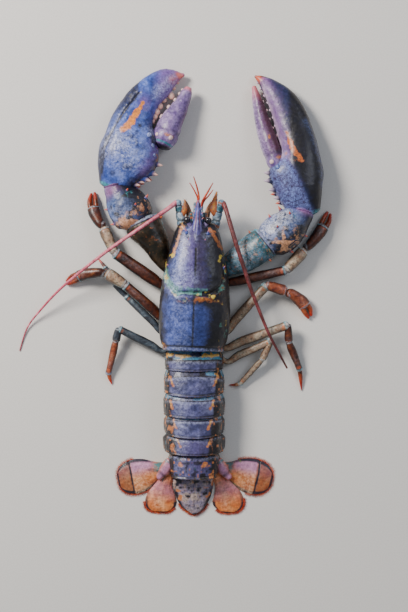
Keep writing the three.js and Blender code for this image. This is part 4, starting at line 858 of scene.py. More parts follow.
arms = {  # stations: x, y, z, half width, half height; teeth: place, height, radius
    "left": {
        "merus": [
            [-11.9, 17.8, 8, 4, 4.5], [-21.8, 27.7, 10, 6, 7], [-28.2, 41.5, 12.5, 9.8, 11],
            [-36.5, 54.4, 13, 13.5, 12.5], [-38.2, 57.5, 13, 12.8, 11.5],
        ],
        "carpus": [
            [-40.5, 56.4, 13, 9.5, 8.5], [-43.4, 61.4, 13.2, 14.8, 12], [-50.3, 71.1, 13.5, 15.2, 13],
            [-56.8, 81, 13.5, 10.2, 10.4], [-58.2, 85.4, 13.5, 8.6, 9],
        ],
        "palm": [
            [-58.3, 84.6, 12, 12.5, 9.5], [-55.9, 93.2, 12.6, 16.6, 12.6], [-48.9, 105.8, 13.2, 22.5, 14],
            [-46.4, 119.7, 12.5, 20, 13], [-46, 131.7, 11, 16, 11], [-41.2, 143.2, 9.6, 13.2, 9.6],
            [-34.1, 153, 8.6, 11.6, 8.6], [-24.8, 160.8, 7.4, 10.4, 7.2], [-16.4, 166.1, 6, 6.4, 5.2],
            [-8.4, 167.9, 5, 1.8, 2],
        ],
        "palmEnd": 1.6,
        "finger": [
            [-23.2, 116.8, 12, 7.8, 8.5], [-20.2, 124.3, 11.5, 9.4, 9.2], [-16.8, 132.2, 11, 8.6, 8],
            [-11.8, 140.8, 10, 6.9, 6.4], [-7.9, 148.3, 9.4, 5, 5], [-5.2, 154.4, 9, 4.1, 4.1],
            [-4.2, 157.2, 9, 2.8, 3],
        ],
        "fingerEnd": 1.6,
        "teeth": [
            (0.5, 1.4, 1.9), (0.55, 2.8, 2.7), (0.6, 3.2, 3), (0.66, 3, 2.7), (0.72, 1.8, 2),
            (0.79, 4.4, 2.7), (0.86, 1.9, 1.6), (0.92, 1.2, 1.2),
        ],
        "toothSide": 0,
        "fingerTeeth": [
            (0.34, 1, 1.8), (0.48, 1.6, 1.8), (0.62, 1.4, 1.6), (0.75, 1.3, 1.4), (0.86, 1, 1.1),
        ],
        "crest": [(-48.6, 87), (-44.4, 89), (-39.6, 91.5), (-33.6, 95.2), (-28.6, 100.7)],
        "lowerCrest": [(-45, 85.5), (-41, 87.3), (-35, 90.3)],
        "knobs": [(-33.4, 122, 2, 1.6), (-30.5, 116, 1.3, 0.8), (-29, 110.5, 1.2, 0.8)],
        "chitin": leftClawChitin, "armChitin": darkArmChitin,
    },
    "right": {
        "merus": [
            [14, 19.8, 8, 4.5, 5], [23.9, 24.7, 10.5, 7.4, 8], [36.7, 31.6, 12.5, 11, 11],
            [49.5, 40, 13, 12.4, 12.4], [53, 42.6, 13, 11.8, 11.6],
        ],
        "carpus": [
            [53.4, 41.2, 13, 9, 8.5], [58.4, 45, 13.2, 14, 12], [69.3, 53.3, 13.5, 14.4, 13],
            [78.7, 63.2, 13.5, 10, 10.4], [80.4, 66.4, 13.5, 8.8, 9.2],
        ],
        "palm": [
            [83.3, 65.3, 11.5, 11, 9], [80.7, 73.2, 12.4, 14.8, 11.6], [78, 83, 13, 18, 12.8],
            [75.9, 94.9, 12.6, 20.4, 13], [79.2, 107.9, 11.8, 14.4, 11.6], [76.8, 119.9, 10.6, 13.2, 10],
            [72.6, 133.6, 9.2, 12.6, 8.6], [66.9, 146.3, 7.8, 10.8, 7.2], [59.1, 156.2, 6.4, 7.8, 5.6],
            [50.7, 163.9, 5, 3.7, 3.6], [46.3, 166.7, 4.6, 1.2, 1.4],
        ],
        "palmEnd": 1.2,
        "finger": [
            [62.3, 98.5, 12, 5.4, 7.5], [59.4, 106.4, 11.6, 6.6, 8], [56.4, 115.4, 10.8, 7, 7.2],
            [53, 125.6, 9.6, 6.3, 6.2], [50, 136.6, 8.4, 5.3, 5.2], [47.4, 147.6, 7.4, 3.9, 4],
            [44.9, 158.8, 6.6, 1.6, 1.6],
        ],
        "fingerEnd": 1, "teeth": [(0.5 + k * 0.052, 0.9 + 0.5 * (k % 3 == 1), 1.2) for k in range(9)],
        "toothSide": 180,
        "fingerTeeth": [(0.3 + k * 0.105, 0.8 + 0.4 * (k % 3 == 1), 1.1) for k in range(6)],
        "crest": [(66.5, 76.4), (62.6, 82.5), (59.9, 89), (58.4, 94)], "lowerCrest": [(65, 72.5), (61, 79)],
        "knobs": [(62, 97, 2, 1.3)], "chitin": rightClawChitin, "armChitin": armChitin,
    }
}
leftCrease = [(-67.6, 94.2), (-65.5, 112.1), (-59.2, 125.8), (-52.4, 137.3), (-40.3, 153.1)]
rightRidge = [(65, 107.7), (62.3, 118.8), (59.2, 130), (56.4, 141.2), (52.4, 152.3), (49, 163.5)]


def leftPalmForm(t, degrees, grid):
    top = grid[..., 2] > 12
    lumps = lumpy(grid, (13, 1, 0.5), (5, 2, 0.22)) + grainy(grid, 1.7, 3, 0.26)
    inside = streak(grid, [(x + 3.4, y - 1.2) for x, y in leftCrease], 2.6)
    calm = 1 - 0.6 * (grid[..., 0] < -58)
    return lumps * calm - 0.6 * streak(grid, leftCrease[1:], 1.1) * top + 0.3 * inside * top


def leftPalmMarks(t, degrees, grid):
    x, y = grid[..., 0], grid[..., 1]
    top = 0.0 + (grid[..., 2] > 9)
    edge = np.interp(y, [b for _, b in leftCrease], [a for a, _ in leftCrease])
    outside = (1 - ease(-2, 1, x - edge)) * top
    inner = ease(-32, -20, x) * ease(118, 132, y)
    # pale granules on the upper palm, with a painted highlight over them
    granulesAndHighlight = 0.9 * spot(grid, -54, 114, 12) + 0.7 * streak(grid, [(-26, 153), (-16, 163)], 5)
    flecks = valueNoise(grid, 2.2, 16)
    return {
        "peach": 1.2 * streak(grid, [(-50.8, 125.4), (-46, 132)], 3.1) * top
            + 1.2 * streak(grid, [(-46, 132), (-42, 138.5)], 2.6) * top
            + streak(grid, [(-42, 138.5), (-37.5, 145.5)], 1.7) * top
            + 0.35 * spot(grid, -58, 112, 9) * ease(0, 0.5, flecks),
        "violet": 0.8 * inner + 0.65 * streak(grid, [(-36, 95), (-29, 104), (-28, 116)], 5) * top
            + 0.5 * spot(grid, -36, 146, 6),
        "light": top * (granulesAndHighlight + 0.45 * spot(grid, -46, 100, 10) + 0.5 * spot(grid, -31, 126, 5))
            + 0.12 * outside * bump(y, 118, 16),
        # dark: painted shade in the crease line and, facing 270, on the underside
        "dark": 0.7 * streak(grid, leftCrease, 1.1) * top + 0.6 * facing(degrees, 270, 70)
            # painted shade in the small notch at -39.6, 128; the outside band is the shell's own darker blue
            + 0.85 * spot(grid, -39.6, 128, 1.6) + 0.7 * outside * (1 - 0.7 * bump(y, 128, 14))
            # painted shade on the steep fall from the crest spines down to the lower row
            + 0.85 * streak(grid, [(-45, 84), (-34, 89), (-27.5, 96), (-25, 104)], 3.4)
            + 0.5 * ease(0.2, 0.7, valueNoise(grid, 4.5, 19)) * (y < 125) * top
            + 0.75 * streak(grid, [(-29, 116), (-31.5, 125), (-29, 133)], 2.2),
        "cool": 0.8 * bump(t, -0.02, 0.05) + 0.6 * spot(grid, -30, 111, 4),
        "tip": 0.85 * spot(grid, -10.5, 167, 3.4) + 0.5 * spot(grid, -15.5, 163.5, 2.6),
        "warm": 0.7 * streak(grid, [(-28, 98), (-27, 110)], 3) * ease(0, 0.5, flecks),
    }


def rightPalmForm(t, degrees, grid):
    top = grid[..., 2] > 9
    lumps = lumpy(grid, (13, 11, 0.3), (5, 12, 0.16)) + grainy(grid, 1.7, 13, 0.12)
    edge = streak(grid, [(68, 118), (69.5, 104), (81, 80), (88.3, 68)], 1.6) * top
    return lumps - 0.4 * edge + 0.6 * streak(grid, rightRidge, 2) * top


def rightPalmMarks(t, degrees, grid):
    x, y = grid[..., 0], grid[..., 1]
    top = 0.0 + (grid[..., 2] > 8)
    split = np.interp(y, [64, 80, 104, 118], [88.3, 81, 69.5, 68])
    lobe = (1 - ease(-2, 2, x - split)) * (1 - ease(104, 118, y)) * top
    ridge = streak(grid, rightRidge, 2)
    # a painted reflection along the outer side
    paintedReflection = streak(grid, [(95.5, 84), (94.5, 100), (89.5, 118), (83, 132)], 2.2)
    flecks = valueNoise(grid, 2.2, 16)
    return {
        "light": 0.95 * lobe * (0.75 + 0.3 * valueNoise(grid, 6, 14)) + 0.3 * paintedReflection * (grid[..., 2] > 14),
        "violet": 0.15 * lobe + 0.9 * streak(grid, [(a + 3.4, b) for a, b in rightRidge], 4.6) * top,
        "warm": streak(grid, [(68.5, 124), (71.2, 116.5)], 1.4) * top
            + 1.05 * streak(grid, [(71.2, 116.5), (73.4, 110.5)], 2) * top
            + 1.05 * streak(grid, [(73.4, 110.5), (78.9, 102.4)], 2.3) * top
            + 0.4 * streak(grid, [(66, 126), (66, 112), (75, 100)], 4) * ease(0, 0.4, flecks)
            + 0.35 * lobe * ease(0.3, 0.7, flecks),
        # dark: painted shade over the right half past the split, and on the underside (facing 270)
        "dark": 0.75 * ease(0, 5, x - split) * top * (1 - 0.8 * ridge) + 0.6 * facing(degrees, 270, 70),
        "cool": 0.7 * bump(t, -0.02, 0.04), "tip": 0.8 * spot(grid, 47.6, 165.5, 3.2),
        "pale": 0.7 * ridge * top * (1 - ease(155, 164, y)), "gold": 0.8 * spot(grid, 67, 100, 1.2),
    }


def fingerForm(t, degrees, grid):
    lumps = lumpy(grid, (8, 4, 0.28), (3.4, 5, 0.16)) + grainy(grid, 1.5, 6, 0.2)
    ridge = 0.4 * facing(degrees, 90, 25) * ease(0.1, 0.3, t) * (1 - ease(0.8, 1, t))
    return lumps + ridge + 0.6 * bump(t, 0.09, 0.07) - 0.3 * bump(t, 0.19, 0.03)


palmShapes = {"left": (leftPalmForm, leftPalmMarks), "right": (rightPalmForm, rightPalmMarks)}
for name, arm in arms.items():
    inner = 0 if name == "left" else 180
    outer = 180 - inner
    turn = 1 if inner == 0 else -1
    tooth, stations = arm["toothSide"], 80
    palmForm, palmMarks = palmShapes[name]
    palm = [loft(
        arm["palm"], 160, 230, power=2.2, startCap=4, endCap=arm["palmEnd"], form=palmForm, marks=palmMarks,
        socket=arm["finger"],
    )]
    for t, height, radius in arm["teeth"]:
        palm.append(molar(surfaceAt(arm["palm"], t, tooth, 2.2), height, radius))
    centre, _, across, up, w, h = framesAt(arm["palm"], np.linspace(0, 1, stations))
    for k, (x, y) in enumerate(arm["crest"] + arm["lowerCrest"]):  # spines along the palm's inner edge
        away = np.array([x, y]) - centre[:, :2]
        sideways = np.abs(away @ across[stations // 2, :2])
        nearest = np.argmin(np.linalg.norm(away, axis=1) - sideways * 0.5)
        lower = k >= len(arm["crest"])
        out = unit(np.array([x, y, centre[nearest, 2] + (-2 if lower else 2.6)]) - centre[nearest])
        u, v = out @ across[nearest], out @ up[nearest]
        edge = centre[nearest] + out / math.sqrt((u / w[nearest]) ** 2 + (v / h[nearest]) ** 2) * 1.02
        length, radius, mark = (3.8, 2.3, "tip") if lower else (4.4, 3, "pale")
        palm.append(spike((edge, out), length, radius, (0, 0.1, 0.15), tip=mark))
    for x, y, radius, height in arm["knobs"]:
        nearest = np.argmin(np.abs(centre[:, 1] - y))
        degrees = math.degrees(math.acos(np.clip((x - centre[nearest, 0]) / w[nearest], -0.95, 0.95)))
        palm.append(molar(
            surfaceAt(arm["palm"], nearest / (stations - 1), degrees, 2.2), height, radius, "light",
        ))
    makePiece(f"claw_{name}_propodus", palm, arm["chitin"])

    def fingerMarks(t, degrees, grid):
        # facing 270 is painted shade on the underside
        dark = 0.8 * (1 - ease(-0.07, -0.03, t)) + 0.3 * bump(t, 0.19, 0.03) + 0.6 * facing(degrees, 270, 60)
        if name == "left":
            pale = 0.75 * facing(degrees, tooth + 180, 45) * ease(0.1, 0.4, t)
            purple = 0.5 * facing(degrees, 0, 40) * bump(t, 0.5, 0.3)
            edge, fleck = 0.45 * facing(degrees, 200, 40), 0
        else:
            # on the right dactyl the pale outer edge is a painted highlight
            pale = facing(degrees, tooth, 40) * ease(0.05, 0.3, t)
            purple = facing(degrees, 10, 85) * ease(0.08, 0.25, t)
            edge, fleck = 0.4 * facing(degrees, 40, 40), 0.9 * spot(grid, 55.5, 121, 1.8)
        return {
            "gold": 0.65 * bump(t, 0.12, 0.05) * facing(degrees, 70, 60) + fleck,
            "cool": 0.85 * bump(t, -0.01, 0.03), "tip": 0.85 * ease(0.8, 1, t),
            "light": pale, "violet": purple, "dark": dark + edge,
        }

    finger = [loft(
        arm["finger"], 96, 150, startCap=5, endCap=arm["fingerEnd"], capRings=8, form=fingerForm,
        marks=fingerMarks,
    )]
    for t, height, radius in arm["fingerTeeth"]:
        finger.append(molar(surfaceAt(arm["finger"], t, tooth + 180), height, radius))
    for t, degrees, height, radius in ((0.1, 90 - turn * 30, 1.5, 1.9), (0.08, 90 + turn * 40, 1.2, 1.6)):
        finger.append(molar(surfaceAt(arm["finger"], t, degrees), height, radius))
    makePiece(f"claw_{name}_dactyl", finger, dactylChitin)

    def armForm(t, degrees, grid):
        ends = 0.6 * bump(t, 0.97, 0.03) + 0.4 * bump(t, 0.06, 0.05) - 0.5 * bump(t, 0.9, 0.025)
        return lumpy(grid, (8, 6, 0.5), (3, 7, 0.25)) + grainy(grid, 1.5, 8, 0.15) + ends

    def carpusMarks(t, degrees, grid):
        upper = facing(degrees, 90, 75)
        flecks, patchy = valueNoise(grid, 2.6, 21), valueNoise(grid, 5, 22)
        if name == "left":
            return {
                "violet": 0.95 * ease(0.62, 0.8, t) * facing(degrees, 110, 60),
                "peach": 0.95 * facing(degrees, 125, 60) * (1 - ease(0.3, 0.5, t))
                    * ease(-0.5, 0.1, flecks),
                # dark: facing 15 is painted shade on the right flank; the patchy term is the shell's own
                # mottling
                "dark": 1.2 * facing(degrees, 15, 70) + 0.8 * ease(-0.2, 0.3, patchy) * (t < 0.62),
                "light": 0.5 * upper * bump(t, 0.4, 0.2) * facing(degrees, 130, 40),
                "cool": 0.5 * bump(t, 0.6, 0.1) * facing(degrees, 60, 30),
                "gold": 0.65 * facing(degrees, 50, 40) * bump(t, 0.3, 0.2) * ease(0.1, 0.5, flecks),
                "warm": 0.75 * facing(degrees, 50, 50) * bump(t, 0.35, 0.25) * ease(-0.1, 0.3, -flecks),
            }
        return {
            # light: a painted highlight on the upper left
            "light": facing(degrees, 140, 50) * (1 - ease(0.6, 0.75, t)),
            "dark": 0.8 * facing(degrees, 20, 60) * (1 - ease(0.8, 0.9, t))
                + 0.6 * ease(0, 0.5, patchy) * (t < 0.7),
            "peach": 0.9 * facing(degrees, 60, 60) * bump(t, 0.35, 0.3) * ease(-0.3, 0.2, flecks),
            "violet": 0.9 * bump(t, 0.9, 0.13) * upper,
            "warm": 0.6 * facing(degrees, 30, 60) * bump(t, 0.45, 0.3) * ease(0, 0.4, -flecks),
            "cool": 0.5 * bump(t, 0.66, 0.08) * facing(degrees, 120, 50),
            "gold": 0.5 * bump(t, 0.55, 0.1) * facing(degrees, 60, 40),
        }

    carpus = [loft(arm["carpus"], 120, 130, startCap=5, endCap=3, form=armForm, marks=carpusMarks)]
    for t, degrees, length, radius in (
        (0.6, inner + turn * 8, 3.6, 2), (0.4, inner + turn * 22, 3.2, 1.8),
        (0.64, inner + turn * 60, 2.4, 1.6), (0.4, inner + turn * 70, 2.2, 1.5),
        (0.36, outer - turn * 8, 3.4, 2), (0.58, outer - turn * 14, 2.8, 1.7),
    ):
        carpus.append(spike(surfaceAt(arm["carpus"], t, degrees), length, radius, (0, 0.35, 0)))
    makePiece(f"claw_{name}_carpus", carpus, carpusChitin)

    def merusMarks(t, degrees, grid):
        upper = facing(degrees, 90, 75)
        return {
            "cool": 0.95 * bump(t, 0.03, 0.2) * upper + 0.6 * bump(t, 0.97, 0.05)
                + 0.75 * facing(degrees, inner, 22) + 0.6 * facing(degrees, outer, 16),
            "light": 0.95 * bump(t, 1, 0.07) * upper + 0.6 * bump(t, 0.05, 0.08) * upper
                + (0.5 * bump(t, 0.5, 0.2) * upper if name == "right" else 0),
            "warm": 0.6 * facing(degrees, 90, 50) * bump(t, 0.6, 0.25)
                * ease(-0.1, 0.4, valueNoise(grid, 2.2, 17)),
            "gold": 0.6 * bump(t, 0.85, 0.06) * upper,
            # facing 270 is painted shade on the underside
            "dark": 0.7 * bump(t, 0.9, 0.03) + 0.6 * facing(degrees, 270, 60),
            "violet": 0.7 * bump(t, 0.97, 0.06) * upper,
        }

    merus = [loft(arm["merus"], 100, 120, startCap=1, endCap=4, form=armForm, marks=merusMarks)]
    for t, degrees, length, radius in (
        (0.72, inner + turn * 14, 2.6, 1.7), (0.74, outer - turn * 20, 2.8, 1.8),
    ):
        merus.append(spike(surfaceAt(arm["merus"], t, degrees), length, radius, (0, 0.2, 0)))
    makePiece(f"claw_{name}_merus", merus, arm["armChitin"])
print("claws made")


# Walking legs

legs = {  # joints: x, y, z; sizes: half widths of the three segments
    "left_2": {
        "root": [-12, 6, 6], "hip": [-22, 9.7, 6], "knee": [-59, 35.2, 12], "wrist": [-67.2, 53.4, 9.5],
        "tip": [-75.5, 80.4, 1.6], "sizes": [4.6, 4.2, 4.7], "pincer": 12, "bow": -3.2,
        "chitins": [brownLegChitin, paleLegChitin, brownLegChitin],
    },
    "left_3": {
        "root": [-12, -6, 6], "hip": [-22, -14.3, 5], "knee": [-51.5, 11.5, 12.5],
        "wrist": [-64.6, 20, 11.5], "tip": [-95.6, 12.6, 1.6], "sizes": [3.8, 4.4, 4.3], "pincer": 11,
        "bow": 3.2, "chitins": [brownLegChitin, paleLegChitin, brownLegChitin],
    },
    "left_4": {
        "root": [-12, -16, 5], "hip": [-22.5, -24.5, 4.4], "knee": [-51, 3, 2.8],
        "wrist": [-59.3, 12.2, 2.6], "ankle": [-66.6, 24.7, 2.4], "tip": [-71.9, 31.1, 0.8],
        "sizes": [2.6, 2.4, 2.2], "chitins": [navyLegChitin] * 3,
    },
    "left_5": {
        "root": [-11, -29, 5], "hip": [-22.5, -38.2, 4.6], "knee": [-56.1, -21.5, 10],
        "wrist": [-58.2, -30.6, 8], "ankle": [-64.2, -55.4, 2.6], "tip": [-61.6, -63, 0.8],
        "sizes": [3, 3, 2.8], "chitins": [navyLegChitin, navyLegChitin, rustLegChitin],
    },
    "right_2": {
        "root": [12, 6, 6], "hip": [22, 11.8, 6], "knee": [68.8, 22.3, 11], "wrist": [82, 37.2, 8],
        "tip": [101.2, 65.6, 1.6], "sizes": [3.7, 4.5, 4.6], "pincer": 12, "bow": 2.4,
        "chitins": [brownLegChitin, paleLegChitin, brownLegChitin],
    },
    "right_3": {
        "root": [12, -10, 6], "hip": [22.5, -24, 5], "knee": [54.1, 11, 10.6], "wrist": [68.5, 6.7, 9.5],
        "tip": [86.9, -13, 1.6], "sizes": [3.6, 4, 4.8], "pincer": 10, "bow": -3.2,
        "chitins": [paleLegChitin, rustLegChitin, rustLegChitin],
    },
    "right_4": {
        "root": [12, -22, 5], "hip": [22, -35.6, 5.4], "knee": [70.1, -18.6, 11],
        "wrist": [70.6, -31.3, 8.5], "ankle": [79.3, -52.4, 2.8], "tip": [80.5, -67.5, 0.8],
        "sizes": [3.5, 2.9, 3], "chitins": [paleLegChitin, brownLegChitin, brownLegChitin],
    },
    "right_5": {
        "root": [10, -31, 5], "hip": [23.5, -45.6, 4.4], "knee": [57.3, -30.7, 10],
        "wrist": [50.9, -44.4, 7], "ankle": [34.1, -63.2, 2.6], "tip": [26.6, -63.7, 0.8],
        "sizes": [3, 2.6, 2.3], "chitins": [paleLegChitin, paleLegChitin, paleLegChitin],
    },
}


def legForm(t, degrees, grid):
    lift = valueNoise(grid, 3.5, 8) * 0.12 + grainy(grid, 1.2, 9, 0.08)
    return lift + 0.25 * bump(t, 0.95, 0.04) + 0.15 * bump(t, 0.05, 0.05)


def legMarks(t, degrees, grid):
    patchy = valueNoise(grid, 5, 18)
    return {
        "cool": 0.8 * facing(degrees, 180, 34) * (0.9 + 0.5 * patchy) + 0.5 * facing(degrees, 0, 22)
            + 0.75 * bump(t, 0.97, 0.05),
        "light": 0.75 * bump(t, 0, 0.07) + 0.85 * bump(t, 1, 0.05)
            # painted highlight on the top of the segment
            + 0.2 * facing(degrees, 90, 30) * bump(t, 0.75, 0.15),
        "warm": 0.8 * bump(t, 0.88, 0.06) * facing(degrees, 90, 60)
            + 0.35 * facing(degrees, 0, 40) * (0.8 + 0.6 * patchy),
        # dark: facing 270 is painted shade on the underside; the narrow bands at 150 and 20 are dark borders
        # of the shell
        "dark": 0.6 * facing(degrees, 270, 80) + 0.5 * bump(t, 0.05, 0.04) + 0.5 * facing(degrees, 150, 22)
            + 0.5 * facing(degrees, 20, 22),
    }


def footMarks(t, degrees, grid):
    return {"warm": 0.5 + 0.3 * t, "tip": ease(0.35, 0.85, t), "dark": 0.4 * bump(t, 0, 0.1)}


footRoots, footWays = [], []
for name, leg in legs.items():
    root, hip, knee, wrist, tip = (
        np.array(leg[key], float) for key in ("root", "hip", "knee", "wrist", "tip")
    )
    thigh, shank, foot = leg["sizes"]
    following = np.array(leg.get("ankle", leg["tip"]), float)
    rows = [
        [*root, thigh * 0.75, thigh * 0.8], [*hip, thigh * 0.72, thigh * 0.8],
        [*lerp(hip, knee, 0.3), thigh, thigh * 0.86], [*lerp(hip, knee, 0.8), thigh * 0.95, thigh * 0.85],
        [*(knee - unit(knee - hip) * thigh * 0.3), thigh * 0.9, thigh * 0.82],
    ]
    parts = [loft(rows, 44, 110, startCap=1, endCap=thigh * 0.55, form=legForm, marks=legMarks)]
    if "pincer" in leg:
        kneeSide = unit(np.cross(knee - hip, [0, 0, 1]))
        for hand in (-1, 1):
            normal = unit(kneeSide * hand + unit(knee - hip) * 0.7 + np.array([0, 0, 0.2]))
            point = lerp(hip, knee, 0.94) + kneeSide * hand * thigh * 0.72
            parts.append(spike((point, normal), 1.6, 1.1, sides=8))
    makePiece(f"leg_{name}_merus", parts, leg["chitins"][0])
    rows = [
        [*(knee + unit(wrist - knee) * shank * 0.15), shank * 0.78, shank * 0.8],
        [*lerp(knee, wrist, 0.25), shank * 0.92, shank * 0.9],
        [*lerp(knee, wrist, 0.75), shank * 1.05, shank],
        [*(wrist - unit(wrist - knee) * shank * 0.25), shank * 0.95, shank * 0.88],
    ]
    carpus = loft(rows, 40, 70, startCap=shank * 0.5, endCap=shank * 0.5, form=legForm, marks=legMarks)
    makePiece(f"leg_{name}_carpus", [carpus], leg["chitins"][1])
    if "pincer" in leg:
        palmEnd = 1 - leg["pincer"] / np.linalg.norm(tip - wrist)
        side = unit(np.cross(tip - wrist, [0, 0, 1]))

        def beside(f, offset):  # along the bowed foot
            return lerp(wrist, tip, f) + side * (leg["bow"] * 4 * f * (1 - f) + offset)

        rows = [
            [*(wrist + unit(tip - wrist) * foot * 0.6), foot * 0.62, foot * 0.65],
            [*beside(0.16, 0), foot * 0.78, foot * 0.75], [*beside(palmEnd * 0.75, 0), foot, foot * 0.8],
            [*beside(palmEnd, 0), foot * 0.98, foot * 0.75],
        ]
        parts = [loft(rows, 40, 80, startCap=foot * 0.5, endCap=foot * 0.5, form=legForm, marks=legMarks)]
        for hand in (-1, 1):
            rows = [
                [*beside(palmEnd - 0.06, hand * foot * 0.47), foot * 0.44, foot * 0.62],
                [*beside((1 + palmEnd) / 2, hand * foot * 0.52), foot * 0.37, foot * 0.46],
                [*beside(0.98, hand * foot * 0.28), foot * 0.2, foot * 0.22],
            ]
            parts.append(loft(rows, 24, 50, endCap=foot * 0.15, marks=footMarks))
            for t in np.linspace(0.25, 0.95, 8):
                for degrees in (10, 50, 90, 130, 170):
                    point, normal = surfaceAt(rows, t, degrees)
                    footRoots.append(point)
                    footWays.append(normal * 0.7 + unit(tip - wrist) * 0.6)
    else:
        rows = [
            [*(wrist + unit(following - wrist) * foot * 0.15), foot * 0.8, foot * 0.8],
            [*lerp(wrist, following, 0.3), foot, foot * 0.9], [*following, foot * 0.72, foot * 0.72],
        ]
        parts = [loft(rows, 36, 80, startCap=foot * 0.5, endCap=foot * 0.4, form=legForm, marks=legMarks)]
        rows = [
            [*lerp(wrist, following, 0.95), foot * 0.6, foot * 0.62],
            [*lerp(following, tip, 0.4), foot * 0.5, foot * 0.5], [*tip, 0.3, 0.35],
        ]
        parts.append(loft(rows, 24, 40, endCap=0.4, marks=footMarks))
    makePiece(f"leg_{name}_propodus", parts, leg["chitins"][2])
footTuft = {"length": 1.3, "radius": 0.05, "seed": 4}
growTufts("foot_bristles", footRoots, footWays, brownBristle, "leg_shell", **footTuft)
print("legs made")


# Tail rings

tailX, bellyHeight, plateThickness = 0.1, 9, 2.2
ringRows = [  # front, rear, half width and height at both ends, bow at both ends, flare of the plates
    [-37.9, -51.2, 20.4, 20.9, 27, 28, 0, 1.4, 0.8], [-51.7, -68.9, 21.2, 21.4, 28, 28.5, 1.4, 2.5, 1],
    [-69.7, -85.4, 21.2, 21.2, 27.6, 28, 2.5, 1.6, 1.6], [-85.9, -98.8, 20.6, 20.6, 26.6, 27, 1.6, 3, 2],
    [-99.7, -112.8, 20, 20, 25, 25.5, 3, 1.8, 3.2], [-113.5, -131.6, 19, 16.6, 23, 20, 1.8, 0.9, 0.8],
]
platePlaces = [0, 0.1, 0.3, 0.55, 0.8, 1]  # along a ring, for the three lists below
plateFlare = [-1.5, -1.1, 0, 0.3, 0.2, 0]
plateFoot = [11, 9, 4.5, 0, 0, 7]
plateSpread = [0.3, 0.6, 1, 1, 0.9, 0.4]
facetEnds = [0.5, 0.34, 0.24, 0.2, 0.1, 0.1]  # how far back the smooth front facet of each ring goes
farStarts = [17, 16.4, 14.8, 13, 11.4, 13.6]  # how far out the dark side of each ring begins
sideSpots = {  # by ring: x of the left and right orange spot, y and width
    1: (-16, 16, -61, 1.5), 2: (-16.4, 13.4, -78, 1.5), 3: (-13.6, 11.6, -92.5, 1.4),
    4: (-11, 11, -106, 1.2),
}


